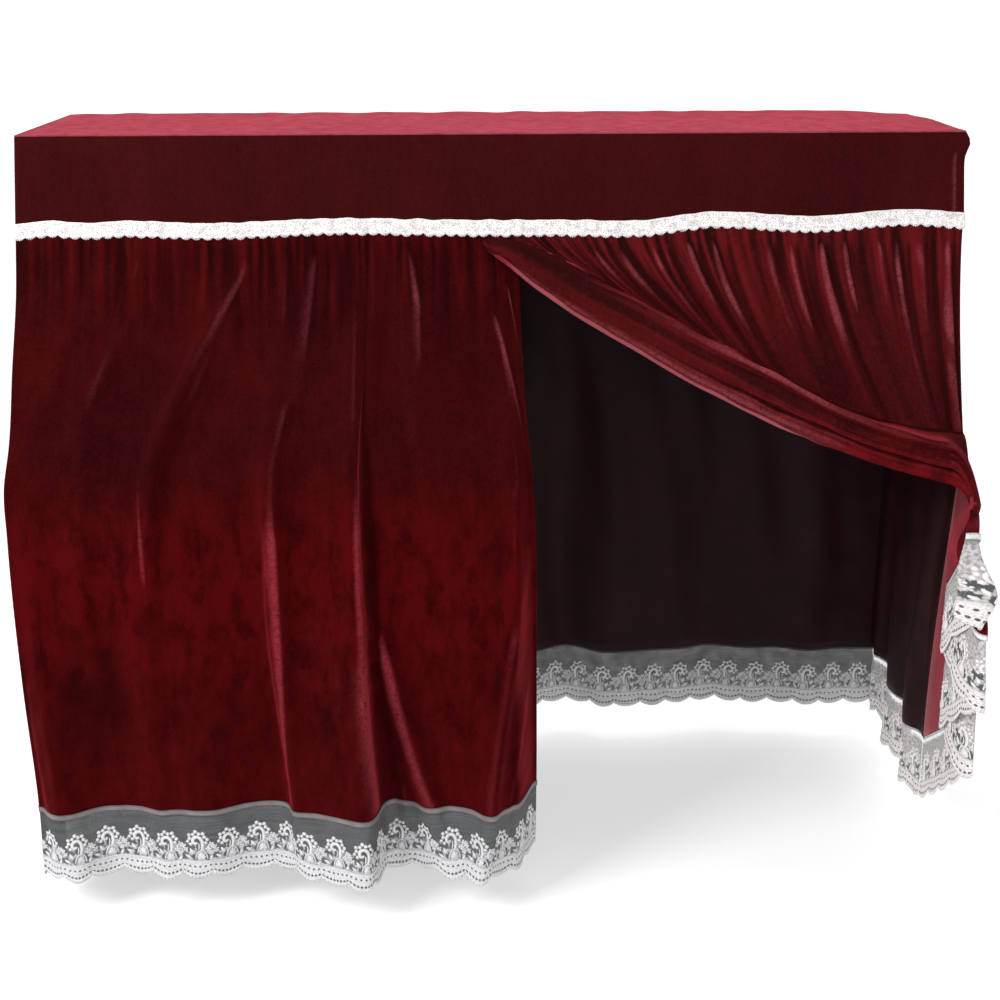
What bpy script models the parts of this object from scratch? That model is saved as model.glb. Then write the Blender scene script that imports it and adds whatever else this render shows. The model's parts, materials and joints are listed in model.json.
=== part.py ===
"""Full cover for an upright piano: a flat top, a plain band, a lace trim and a gathered velvet skirt with a
lace hem. The left front leaf hangs closed and the right one is swept aside over the keyboard's right end.

The piano is not part of it. The origin is the middle of the top panel's underside, where the cover lies on
the lid. +X is the player's right, -Y is the front, +Z is up, and sizes are in metres.
"""

import math
from collections import namedtuple

import bpy
import numpy as np

# Driving sizes
HALF_WIDTH = 0.765  # of the top panel, over the bands
HALF_DEPTH = 0.192
VELVET = 0.002  # thickness of each cloth
LACE = 0.001
TAPE = 0.0012
GAP = 0.0003  # between two pieces that are sewn together
SEAM_GAP = 0.0008  # between the cut edges of band and skirt, behind the trim
FLARE_SIDE = 0.011  # how far the band leans outwards from its top to the seam
FLARE_FRONT = 0.0035
SEAM_DROP = 0.150  # mean height of the seam under the top panel
TRIM_HALF = 0.0145  # the trim reaches this far above and below the seam
TRIM_REACH = 0.017  # the skirt hangs straight for this far, behind the trim
HEM_DROP = 1.068  # velvet hem under the top panel
LACE_DROP = 0.140  # depth of the hem lace
LEAF_LENGTH = 0.995  # of the left leaf's velvet, along its slope
FOLD_DEPTH = 0.016  # of the folds in the side and back walls, at the hem
TAPE_ABOVE = 0.004  # the header tape reaches this far over the velvet and over the lace
TAPE_BELOW = 0.0055
LEAF_OVERLAP = 0.0026  # the right leaf is sewn on in front of the left one
SLOPE_GAP = 0.0012  # between velvet and lace along the cascade's steep hem
COVER_GAP = 0.00045  # between the velvet and a strip sewn on it, which passes over its folds
COVER_OFFSET = VELVET / 2 + COVER_GAP + TAPE / 2  # from the middle of the velvet to the middle of that strip
LONGEST_CORNER = 2.0  # the most that a sheet's thickness grows across a sharp fold
SHARP_ANGLE = math.radians(50)  # cloth edges stay sharp, its folds are smooth

# Heights of the waving seam, along the front
Seam = namedtuple("Seam", "x z")
FRONT_SEAM = [
    Seam(-0.790, -0.156),
    Seam(-0.710, -0.149),
    Seam(-0.655, -0.153),
    Seam(-0.610, -0.150),
    Seam(-0.470, -0.154),
    Seam(-0.240, -0.147),
    Seam(-0.080, -0.150),
    Seam(0.120, -0.151),
    Seam(0.255, -0.152),
    Seam(0.350, -0.140),
    Seam(0.530, -0.147),
    Seam(0.690, -0.137),
    Seam(0.790, -0.144),
]

# The left leaf slopes from the seam to the front of the keyboard and hangs straight down from there.
# run is the share of the velvet's length, and goes past 1 for the lace.
Profile = namedtuple("Profile", "run y z")
LEAF_PROFILE = [
    Profile(0.000, -0.1945, -0.150),
    Profile(0.020, -0.1950, -0.170),
    Profile(0.100, -0.236, -0.238),
    Profile(0.250, -0.332, -0.355),
    Profile(0.385, -0.418, -0.460),
    Profile(0.450, -0.446, -0.517),
    Profile(0.530, -0.454, -0.595),
    Profile(1.000, -0.452, -1.068),
    Profile(1.150, -0.450, -1.216),
]

# The same runs on the leaf's two upright edges: at the corner and at the opening
Edge = namedtuple("Edge", "run corner opening")
LEAF_EDGES = [
    Edge(0.00, -0.776, 0.046),
    Edge(0.02, -0.7775, 0.047),
    Edge(0.10, -0.772, 0.049),
    Edge(0.25, -0.763, 0.052),
    Edge(0.38, -0.755, 0.060),
    Edge(0.45, -0.760, 0.066),
    Edge(0.53, -0.760, 0.070),
    Edge(0.80, -0.757, 0.074),
    Edge(1.00, -0.752, 0.075),
    Edge(1.15, -0.756, 0.074),
]

# Main folds of the left leaf: where each ridge lies at four heights, how far it stands out at the shelf of
# the keyboard and at the hem, and how wide its two flanks are
Fold = namedtuple("Fold", "upper shelf middle hem rise_upper rise_shelf rise_lace left right")
FOLD_RUNS = (0.05, 0.43, 0.72, 1.0)
LEFT_FOLDS = [
    Fold(-0.735, -0.738, -0.735, -0.700, 0.000, 0.002, 0.022, 0.030, 0.040),
    Fold(-0.600, -0.640, -0.650, -0.615, 0.003, 0.006, 0.010, 0.035, 0.030),
    Fold(-0.380, -0.530, -0.553, -0.550, 0.012, 0.018, 0.016, 0.045, 0.022),
    Fold(-0.325, -0.346, -0.341, -0.312, 0.005, 0.018, 0.020, 0.022, 0.035),
    Fold(-0.190, -0.209, -0.208, -0.205, 0.012, 0.026, 0.058, 0.055, 0.016),
    Fold(-0.130, -0.165, -0.172, -0.102, 0.006, 0.004, 0.020, 0.018, 0.024),
    Fold(0.000, 0.040, 0.035, -0.002, 0.008, 0.014, 0.026, 0.022, 0.016),
]
HEM_SWAY = 0.016  # the whole hem sways this far back and forth
SWAY_START = -0.43
SWAY_PITCH = 0.235
LEAF_SAG = 0.030  # how far the free edge of the left leaf sinks in above the keyboard
LEAF_CURL = 0.085  # how far that edge turns back at the hem
CURL_START = 0.955  # share of its width at which that begins
CURL_SHARES = (0.970, 0.985, 1.0)  # its columns from there on

# Sections across the swept-back leaf, one for each place along its seam. trough is the fold line under the
# hanging part, ridge the top of the gathered bundle and rim the leaf's free edge.
Section = namedtuple("Section", "x trough_y trough_z ridge_y ridge_z rim_y rim_z")
SWAG_SECTIONS = [
    Section(-0.012, -0.1980, -0.1670, -0.2010, -0.1700, -0.2050, -0.1840),
    Section(0.035, -0.1985, -0.1690, -0.2060, -0.1730, -0.2140, -0.2180),
    Section(0.080, -0.2005, -0.1840, -0.2130, -0.1910, -0.2240, -0.2530),
    Section(0.150, -0.2050, -0.2180, -0.2240, -0.2270, -0.2380, -0.2985),
    Section(0.250, -0.2130, -0.2690, -0.2520, -0.2720, -0.2640, -0.3530),
    Section(0.355, -0.2280, -0.3230, -0.2870, -0.3250, -0.2980, -0.4110),
    Section(0.455, -0.2450, -0.3700, -0.3230, -0.3640, -0.3340, -0.4560),
    Section(0.560, -0.2650, -0.4150, -0.3660, -0.4090, -0.3750, -0.4810),
    Section(0.660, -0.2860, -0.4450, -0.4060, -0.4370, -0.4170, -0.5030),
    Section(0.775, -0.2950, -0.4600, -0.4380, -0.4560, -0.4600, -0.5220),
]
Lean = namedtuple("Lean", "x shift")
HANG_LEAN = [
    Lean(-0.012, 0.000),
    Lean(0.050, 0.065),
    Lean(0.150, 0.122),
    Lean(0.300, 0.118),
    Lean(0.450, 0.100),
    Lean(0.560, 0.098),
    Lean(0.660, 0.066),
    Lean(0.774, 0.000),
]
RIDGE_SHARE = 0.29  # of the way across the bundle, from the trough to the rim
BUNDLE_CROWN = 0.16  # how far the bundle's face swells, as a share of its width
RIM_DRAW = 0.030  # the free edge crosses the end of the keyboard this far to the left of the corner

# Folds of its hanging part: place along the seam, height at the bundle and width
Pleat = namedtuple("Pleat", "x rise width")
HANG_PLEATS = [
    Pleat(0.155, 0.006, 0.020),
    Pleat(0.210, 0.007, 0.020),
    Pleat(0.262, 0.005, 0.016),
    Pleat(0.325, 0.010, 0.020),
    Pleat(0.365, 0.008, 0.016),
    Pleat(0.460, 0.010, 0.022),
    Pleat(0.545, 0.012, 0.020),
    Pleat(0.600, 0.007, 0.018),
    Pleat(0.670, 0.009, 0.022),
    Pleat(0.746, 0.008, 0.011),
]

# Hem of the cascade on the right side, from the side seam to the leaf's free corner: five layers, folded
# back and forth, with three rows at each turn. share is the place across the bundle, from the trough to the
# rim, and rib how far the bundle stands out there.
Fall = namedtuple("Fall", "share rib x y z")
CASCADE = [
    Fall(0.000, 0.000, 0.7765, -0.207, -1.066),
    Fall(0.090, 0.000, 0.7860, -0.315, -0.990),
    Fall(0.185, 0.000, 0.7980, -0.419, -0.906),
    Fall(0.205, 0.001, 0.7960, -0.428, -0.906),
    Fall(0.225, 0.001, 0.7910, -0.420, -0.906),
    Fall(0.320, 0.003, 0.7880, -0.357, -0.854),
    Fall(0.350, 0.000, 0.7850, -0.348, -0.853),
    Fall(0.380, -0.003, 0.7800, -0.356, -0.852),
    Fall(0.460, -0.003, 0.7810, -0.425, -0.798),
    Fall(0.550, 0.003, 0.7830, -0.486, -0.755),
    Fall(0.580, 0.004, 0.7805, -0.495, -0.752),
    Fall(0.610, 0.004, 0.7755, -0.487, -0.750),
    Fall(0.690, -0.003, 0.7725, -0.402, -0.697),
    Fall(0.720, -0.004, 0.7690, -0.393, -0.697),
    Fall(0.750, -0.003, 0.7640, -0.401, -0.697),
    Fall(0.860, 0.004, 0.7650, -0.445, -0.625),
    Fall(0.940, 0.003, 0.7680, -0.474, -0.590),
    Fall(1.000, 0.000, 0.7440, -0.476, -0.588),
]

# Upright edges where side and back walls meet their neighbours. x is the outer face of the side.
Corner = namedtuple("Corner", "run x y z")
BACK_CORNER = [
    Corner(0.00, 0.7752, 0.1945, -0.150),
    Corner(0.02, 0.7765, 0.1950, -0.168),
    Corner(0.10, 0.7785, 0.1964, -0.242),
    Corner(0.30, 0.7800, 0.1999, -0.426),
    Corner(0.65, 0.7795, 0.2060, -0.747),
    Corner(1.00, 0.7780, 0.2120, -1.068),
    Corner(1.16, 0.7780, 0.2147, -1.215),
]

# Rows and columns of the sheets
LEAF_RUNS = (0.0, 0.018, 0.07, 0.15, 0.24, 0.33, 0.41, 0.48, 0.58, 0.72, 0.87, 0.996, 1.0)
BACK_RUNS = (0.0, 0.018, 0.15, 0.33, 0.58, 0.80, 0.9955, 1.0)
HANG_SHARES = (0.0, 0.16, 0.36, 0.57, 0.79)  # below the trim
FALL_SHARES = (0.06, 0.14, 0.26, 0.42, 0.60, 0.80, 0.985, 1.0)
LACE_RUN = 1.15  # the lace ends about here
SIDE_TURN = 0.34  # share of the right side's height at which the leaf's hanging part ends
LEAF_COLUMNS = 36
SWAG_COLUMNS = 24
SIDE_COLUMNS = 12
BACK_COLUMNS = 22
BAND_COLUMNS = {"front": 40, "right": 12, "back": 22, "left": 12}


def through(rows, key, at):
    """The table's values at one value of its key column, on a smooth curve through its rows."""
    table = np.array(rows, float)
    knots = table[:, rows[0]._fields.index(key)]
    slopes = np.gradient(table, knots, axis=0)
    i = int(np.clip(np.searchsorted(knots, at) - 1, 0, len(knots) - 2))
    span = knots[i + 1] - knots[i]
    f = min(max((at - knots[i]) / span, 0.0), 1.0)
    start = table[i] * (1 + 2 * f) * (1 - f) ** 2 + slopes[i] * span * f * (1 - f) ** 2
    end = table[i + 1] * f * f * (3 - 2 * f) - slopes[i + 1] * span * f * f * (1 - f)
    return type(rows[0])(*(start + end))


def ease(value, start=0.0, end=1.0):
    """0 before start, 1 after end and a soft step between."""
    f = min(max((value - start) / (end - start), 0.0), 1.0)
    return f * f * (3 - 2 * f)


def normals(grid):
    """Outward directions at the points of a net, [across, down], of a cloth seen from outside.

    Each is the mean of those of the cells round it, and longer at a sharp fold, so that a sheet about the
    net keeps its thickness there."""
    rising = grid[1:, 1:] - grid[:-1, :-1]
    falling = grid[:-1, 1:] - grid[1:, :-1]
    cells = np.cross(falling, rising)
    cells = np.nan_to_num(cells / np.linalg.norm(cells, axis=2, keepdims=True))
    total = np.zeros(grid.shape)
    count = np.zeros((*grid.shape[:2], 1))
    for across in (slice(None, -1), slice(1, None)):
        for down in (slice(None, -1), slice(1, None)):
            total[across, down] += cells
            count[across, down] += np.any(cells, axis=2, keepdims=True)
    mean = total / np.maximum(count, 1)
    length = np.linalg.norm(mean, axis=2, keepdims=True)
    length[length == 0] = 1
    return mean / length * np.minimum(1 / length, LONGEST_CORNER)


def sheet(name, grid, thick, material, offset=0.0, out=None):
    """A closed sheet of even thickness about a net of points, [across, down], seen from outside.

    offset moves it outwards, along its own normals or those given as out. The net's places without cloth
    are nan."""
    if out is None:
        out = normals(grid)
    columns, rows = grid.shape[:2]
    held = ~np.isnan(grid[:, :, 0])
    outer = np.where(held, np.cumsum(held).reshape(columns, rows) - 1, -1)
    inner = outer + held.sum()
    faces = []
    rim = {}
    for i in range(columns - 1):
        for j in range(rows - 1):
            corners = ((i, j), (i, j + 1), (i + 1, j + 1), (i + 1, j))
            if not all(held[corner] for corner in corners):
                continue
            # both layers are split along the cell's shorter diagonal, so that they keep their distance
            turn = np.linalg.norm(grid[corners[0]] - grid[corners[2]]) > np.linalg.norm(
                grid[corners[1]] - grid[corners[3]]
            )
            a, b, c, d = corners[1:] + corners[:1] if turn else corners
            for half in ((a, b, c), (a, c, d)):
                faces.append([int(outer[corner]) for corner in half])
                faces.append([int(inner[corner]) for corner in reversed(half)])
            for a, b in zip(corners, corners[1:] + corners[:1]):
                if rim.pop((b, a), None) is None:
                    rim[a, b] = True
    for a, b in rim:
        faces.append([int(outer[b]), int(outer[a]), int(inner[a]), int(inner[b])])
    layers = [(grid + out * (offset + side * thick / 2))[held] for side in (1, -1)]
    mesh = bpy.data.meshes.new(name)
    mesh.from_pydata(np.concatenate(layers).tolist(), [], faces)
    mesh.materials.append(material)
    mesh.update()
    mesh.shade_smooth()
    mesh.set_sharp_from_angle(angle=SHARP_ANGLE)
    piece = bpy.data.objects.new(name, mesh)
    bpy.context.scene.collection.objects.link(piece)


def cloth(name, colour, roughness, sheen):
    material = bpy.data.materials.new(name)
    material.use_nodes = True
    shader = material.node_tree.nodes["Principled BSDF"]
    shader.inputs["Base Color"].default_value = (*colour, 1.0)
    shader.inputs["Roughness"].default_value = roughness
    shader.inputs["Metallic"].default_value = 0.0
    shader.inputs["Sheen Weight"].default_value = sheen
    return material


# Top, band and trim


def seam_z(x):
    return through(FRONT_SEAM, "x", x).z


def band_half_width(z):
    """From the middle to the middle of a side band's cloth."""
    return HALF_WIDTH - VELVET / 2 - FLARE_SIDE * z / SEAM_DROP


def band_half_depth(z):
    return HALF_DEPTH - VELVET / 2 - FLARE_FRONT * z / SEAM_DROP


def around(wall, share, z, offset, thick):
    """A point of a strip that goes round the cover at height z, offset outwards from the bands' middle.

    The front and back lengths run over the ends of the side lengths."""
    half_width = band_half_width(z) + offset
    half_depth = band_half_depth(z) + offset
    full = half_width + thick / 2
    inner = half_depth - thick / 2 - GAP
    if wall == "front":
        return (-full + 2 * full * share, -half_depth, z)
    if wall == "right":
        return (half_width, -inner + 2 * inner * share, z)
    if wall == "back":
        return (full - 2 * full * share, half_depth, z)
    return (-half_width, inner - 2 * inner * share, z)


def seam_height(wall, share):
    """The seam waves a little on every wall and meets itself at the corners."""
    half = band_half_width(-SEAM_DROP) + VELVET / 2
    left, right = seam_z(-half), seam_z(half)
    if wall == "front":
        return seam_z(-half + 2 * half * share)
    if wall == "back":
        return right + (left - right) * share + 0.002 * math.sin(math.tau * 3.3 * share)
    return (right if wall == "right" else left) + 0.002 * math.sin(math.tau * 2 * share)


def trim_bulge(wall, share):
    """The front trim passes over the place where both leaves are sewn in."""
    if wall != "front":
        return 0.0
    x = (2 * share - 1) * HALF_WIDTH
    return LEAF_OVERLAP * ease(x, -0.075, -0.030) * ease(-x, -0.150, -0.100)


Cloths = namedtuple("Cloths", "velvet lace tape")


def make_top(velvet):
    x, y = HALF_WIDTH, HALF_DEPTH
    middle = VELVET / 2
    grid = np.array([[(-x, y, middle), (-x, -y, middle)], [(x, y, middle), (x, -y, middle)]])
    sheet("top_panel", grid, VELVET, velvet)


def make_bands(velvet):
    for wall in ("front", "right", "back", "left"):
        columns = BAND_COLUMNS[wall]
        grid = []
        for i in range(columns + 1):
            share = i / columns
            low = seam_height(wall, share)
            heights = (-GAP, low)
            grid.append([around(wall, share, z, 0.0, VELVET) for z in heights])
        sheet(f"band_{wall}", np.array(grid), VELVET, velvet)


def make_trims(lace):
    for wall in ("front", "right", "back", "left"):
        columns = BAND_COLUMNS[wall]
        grid = []
        for i in range(columns + 1):
            share = i / columns
            middle = seam_height(wall, share)
            offset = COVER_OFFSET + trim_bulge(wall, share)
            heights = (middle + TRIM_HALF, middle - TRIM_HALF)
            grid.append([around(wall, share, z, offset, TAPE) for z in heights])
        sheet(f"trim_{wall}", np.array(grid), TAPE, lace)


# Left leaf


def profile_point(run):
    row = through(LEAF_PROFILE, "run", run)
    return np.array((0.0, row.y, row.z))


def profile_out(run):
    """Outward direction of the plain leaf, across its profile."""
    step = profile_point(run + 0.01) - profile_point(run - 0.01)
    out = np.array((0.0, step[2], -step[1]))
    return out / np.linalg.norm(out)


def ridge_at(fold, run):
    if run > 1.0:
        drift = (fold.hem - fold.middle) / (FOLD_RUNS[3] - FOLD_RUNS[2])
        return fold.hem + drift * (run - 1.0)
    places = (fold.upper, fold.shelf, fold.middle, fold.hem)
    return float(np.interp(run, FOLD_RUNS, places))


def rise_at(fold, run):
    runs = (0.02, 0.12, FOLD_RUNS[1], LACE_RUN)
    rises = (0.0, fold.rise_upper, fold.rise_shelf, fold.rise_lace)
    return float(np.interp(run, runs, rises))


def fold_rise(folds, x, run):
    total = 0.0
    for fold in folds:
        away = x - ridge_at(fold, run)
        width = fold.left if away < 0 else fold.right
        total += rise_at(fold, run) * math.exp(-((away / width) ** 2))
    return total


def left_leaf(across, run):
    """A point of the left leaf: across goes from the corner to the opening."""
    edges = through(LEAF_EDGES, "run", run)
    x = edges.corner + (edges.opening - edges.corner) * across
    point = profile_point(run) + (x, 0.0, 0.0)
    near_seam = ease(-run, -0.25, 0.0)
    point[2] += (seam_z(x) - SEAM_GAP + SEAM_DROP) * near_seam
    still = ease(across, 0.0, 0.05)
    point += profile_out(run) * fold_rise(LEFT_FOLDS, x, run) * still
    low = ease(run, 0.45, 1.0)
    sway = HEM_SWAY * math.sin(math.tau * (x - SWAY_START) / SWAY_PITCH)
    point[1] += sway * low * still * ease(-across, -1.0, -0.9)
    sag = math.sin(math.pi * min(run / 0.45, 1.0))
    point[1] += LEAF_SAG * sag * ease(across, 0.78, 1.0)
    curl = ease(run, 0.30, 1.0) * ease(across, CURL_START, 1.0)
    point[1] += LEAF_CURL * curl
    return point


def make_left_leaf(cloths):
    def rows(runs):
        flat = LEAF_COLUMNS - len(CURL_SHARES)
        shares = [CURL_START * i / flat for i in range(flat + 1)] + list(CURL_SHARES)
        return np.array([[left_leaf(share, run) for run in runs] for share in shares])

    hem(rows, LEAF_RUNS, "left_leaf", cloths, LEAF_LENGTH)


def hem(rows, runs, place, cloths, length):
    """One length of the skirt with the lace and the tape along its hem."""
    skirt = rows(runs)
    at_hem = normals(skirt)[:, -2:]
    sheet(f"skirt_{place}", skirt, VELVET, cloths.velvet)
    lace_runs = (1.0 + GAP / length, 1.0 + LACE_DROP / length)
    sheet(f"lace_{place}", rows(lace_runs), LACE, cloths.lace, out=at_hem[:, [1, 1]])
    tape_runs = (1.0 - TAPE_ABOVE / length, 1.0, 1.0 + TAPE_BELOW / length)
    sheet(f"tape_{place}", rows(tape_runs), TAPE, cloths.tape, COVER_OFFSET, at_hem[:, [0, 1, 1]])


# Side and back walls


def left_corner_line(run):
    """The front edge of the left side, just behind the left leaf."""
    edge = left_leaf(0.0, run)
    edge -= profile_out(run) * (VELVET / 2 + GAP)
    edge[0] += VELVET / 2
    return edge


def back_corner_line(run, side, inset):
    """An upright edge at the back: side is -1 or 1, and a side wall's own edge is inset behind the back wall."""
    row = through(BACK_CORNER, "run", run)
    if inset:
        return np.array(((row.x - VELVET / 2) * side, row.y - VELVET / 2 - GAP, row.z))
    return np.array((row.x * side, row.y, row.z))


def hanging_wall(wall, first, last, across, run, waves, depth, phase):
    """A wall that hangs between two upright lines in soft, uneven folds that grow towards the hem."""
    start, end = first(run), last(run)
    point = start + (end - start) * across
    top = first(0.0) + (last(0.0) - first(0.0)) * across
    point[2] += (seam_height(wall, across) - SEAM_GAP - top[2]) * ease(-run, -0.25, 0.0)
    along = end - start
    out = np.array((along[1], -along[0], 0.0))
    out /= np.linalg.norm(out)
    uneven = across + 0.045 * math.sin(math.tau * (1.7 * across + phase))
    wave = math.sin(math.tau * (waves * uneven + phase)) + 0.35 * math.sin(math.tau * (1.9 * waves * across))
    still = ease(across, 0.04, 0.12) * ease(-across, -0.96, -0.88)
    return point + out * depth * ease(run, 0.0, 1.0) * wave * still


def make_wall(cloths, place, columns, runs, first, last, waves, phase):
    """A plain length of the skirt, hanging between two upright lines."""
    wall = place.split("_")[0]

    def rows(chosen):
        shares = [i / columns for i in range(columns + 1)]
        return np.array(
            [
                [hanging_wall(wall, first, last, share, run, waves, FOLD_DEPTH, phase) for run in chosen]
                for share in shares
            ]
        )

    hem(rows, runs, place, cloths, HEM_DROP - SEAM_DROP)


# Right leaf


def swag_point(x, share):
    """Across the bundle of the swept-back leaf: share 0 is the trough, 1 the free edge."""
    row = through(SWAG_SECTIONS, "x", x)
    trough = np.array((x, row.trough_y, row.trough_z))
    ridge = np.array((x, row.ridge_y, row.ridge_z))
    rim = np.array((x, row.rim_y, row.rim_z))
    if share < RIDGE_SHARE:
        f = share / RIDGE_SHARE
        point = trough + (ridge - trough) * f
        point[2] += 0.10 * np.linalg.norm(ridge - trough) * math.sin(math.pi * f) * (f - 0.55)
    else:
        f = (share - RIDGE_SHARE) / (1 - RIDGE_SHARE)
        point = ridge + (rim - ridge) * f
        point[1] -= BUNDLE_CROWN * np.linalg.norm(rim - ridge) * math.sin(math.pi * f ** 0.7)
    rib = through(CASCADE, "share", share).rib * ease(x, 0.05, 0.45)
    point[1] -= rib
    point[2] += 0.5 * rib
    return point


def swag_x(seam_x):
    return seam_x + through(HANG_LEAN, "x", seam_x).shift


def hanging_flat(seam_x):
    """The share of the hanging part that lies behind the trim."""
    height = seam_z(seam_x) - SEAM_GAP - swag_point(swag_x(seam_x), 0.0)[2]
    return min(TRIM_REACH / height, 0.8)


def hanging_shares(seam_x):
    flat = hanging_flat(seam_x)
    return [0.0] + [flat + (1 - flat) * share for share in HANG_SHARES]


def hanging_point(seam_x, share):
    """The part of the right leaf between the seam and the trough."""
    forward = LEAF_OVERLAP * ease(-seam_x, -0.130, -0.070)
    top_z = seam_z(seam_x) - SEAM_GAP
    top = np.array((seam_x, -band_half_depth(top_z) - forward, top_z))
    low = swag_point(swag_x(seam_x), 0.0)
    flat = hanging_flat(seam_x)
    point = top + (low - top) * share
    point[0] = top[0] + (low[0] - top[0]) * share ** 1.6
    point[1] = top[1] + (low[1] - top[1]) * (max(share - flat, 0.0) / (1 - flat)) ** 1.5
    pleats = sum(
        pleat.rise * math.exp(-(((seam_x - pleat.x) / pleat.width) ** 2)) for pleat in HANG_PLEATS
    )
    point[1] -= pleats * ease(share, 0.08, 0.6) * (1 - 0.35 * share)
    return point


def crossing(share):
    """Where the bundle reaches the right end of the keyboard."""
    corner = HANG_LEAN[-1].x
    return swag_point(corner - RIM_DRAW * share, share)


def fall_point(share, down):
    """The cascade outside the keyboard's end: down 0 is the crossing and 1 the hem."""
    start = crossing(share)
    row = through(CASCADE, "share", share)
    end = np.array((row.x, row.y, row.z))
    length = np.linalg.norm(end - start)
    over = ease(share, 0.0, 0.15)
    out = 0.026 - 0.012 * share
    lead = np.array((out * over, -0.004 * over, -0.014 * over - 0.25 * length * (1 - over)))
    rise = np.array((0.0, 0.0, 0.42 * length))
    near, far = start + lead, end + rise
    a, b = 1 - down, down
    return a**3 * start + 3 * a * a * b * near + 3 * a * b * b * far + b**3 * end


def right_corner_line(run):
    """The leaf's edge at the side seam: along its hanging part, then down the cascade."""
    if run < SIDE_TURN:
        return hanging_point(HANG_LEAN[-1].x, run / SIDE_TURN)
    if run <= 1.0:
        return fall_point(0.0, (run - SIDE_TURN) / (1.0 - SIDE_TURN))
    return fall_point(0.0, 1.0) - np.array((0.0, 0.0, (run - 1.0) * (HEM_DROP - SEAM_DROP)))


def right_side_runs():
    """The right side's rows lie at the same heights as the leaf's at their seam."""
    runs = [SIDE_TURN * share for share in hanging_shares(HANG_LEAN[-1].x)] + [SIDE_TURN]
    return runs + [SIDE_TURN + (1 - SIDE_TURN) * down for down in FALL_SHARES]


def right_side_line(run):
    """The front edge of the right side, just behind the leaf."""
    step = right_corner_line(min(run + 0.01, LACE_RUN)) - right_corner_line(max(run - 0.01, 0.0))
    out = np.array((0.0, step[2], -step[1]))
    out /= np.linalg.norm(out)
    edge = right_corner_line(run) - out * (VELVET / 2 + GAP)
    edge[0] -= VELVET / 2
    return edge


def make_right_leaf(cloths):
    """One sheet: its hanging part, its bundle and the cascade are three blocks of one L-shaped net."""
    first, last = HANG_LEAN[0].x, HANG_LEAN[-1].x
    seams = [first + (last - first) * (i / SWAG_COLUMNS) ** 0.92 for i in range(SWAG_COLUMNS + 1)]
    shares = [row.share for row in CASCADE]
    front = []
    for seam_x in seams:
        column = [hanging_point(seam_x, share) for share in hanging_shares(seam_x)]
        x = swag_x(seam_x)
        drawn = (x - first) / (last - first) * RIM_DRAW
        column += [swag_point(x - drawn * share, share) for share in shares]
        front.append(column)
    fall = [[fall_point(share, down) for share in shares] for down in FALL_SHARES]
    front, fall = np.array(front), np.array(fall)
    whole = np.full((len(front) + len(fall), front.shape[1], 3), np.nan)
    whole[: len(front)] = front
    whole[len(front) :, -len(shares) :] = fall
    sheet("skirt_right_leaf", whole, VELVET, cloths.velvet)

    at_hem = normals(whole)[-1, : -len(shares) - 1 : -1, None]

    def hanging(start, end):
        rows = []
        for share in reversed(shares):
            edge = fall_point(share, 1.0)
            rows.append([edge - (0.0, 0.0, start), edge - (0.0, 0.0, end)])
        return np.array(rows)

    sheet("lace_right_leaf", hanging(SLOPE_GAP, LACE_DROP), LACE, cloths.lace, out=at_hem)
    sheet("tape_right_leaf", hanging(-TAPE_ABOVE, TAPE_BELOW), TAPE, cloths.tape, COVER_OFFSET, at_hem)


def main():
    for old in list(bpy.data.objects):
        bpy.data.objects.remove(old, do_unlink=True)
    cloths = Cloths(
        cloth("wine_velvet", (0.075, 0.004, 0.010), 0.85, 1.0),
        cloth("white_lace", (0.80, 0.80, 0.82), 0.80, 0.2),
        cloth("header_tape", (0.42, 0.34, 0.36), 0.80, 0.2),
    )
    make_top(cloths.velvet)
    make_bands(cloths.velvet)
    make_trims(cloths.lace)
    make_left_leaf(cloths)
    make_right_leaf(cloths)

    def back_left(run):
        return back_corner_line(run, -1, True)

    def back_right(run):
        return back_corner_line(run, 1, True)

    make_wall(cloths, "left_side", SIDE_COLUMNS, LEAF_RUNS, back_left, left_corner_line, 3.0, 0.1)
    make_wall(cloths, "right_side", SIDE_COLUMNS, right_side_runs(), right_side_line, back_right, 2.5, 0.4)

    def left_end(run):
        return back_corner_line(run, -1, False)

    def right_end(run):
        return back_corner_line(run, 1, False)

    make_wall(cloths, "back", BACK_COLUMNS, BACK_RUNS, right_end, left_end, 5.5, 0.2)


main()
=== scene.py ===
"""Dressed model of a full cover for an upright piano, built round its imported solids: wine-red pile velvet
with a flat top and a plain band, a lace trim, and a gathered skirt with a deep lace hem. The left front
leaf hangs closed and the right one is swept aside. Sizes are in metres, +X is the player's right, -Y is the
front and +Z is up. The origin is the middle of the top panel's underside.
"""

import json
import math
from collections import namedtuple

import bpy
import numpy as np
from bpy.props import FloatProperty, FloatVectorProperty, IntProperty, PointerProperty
from bpy.types import Operator, Panel, PropertyGroup
from mathutils import Matrix, Vector

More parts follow.
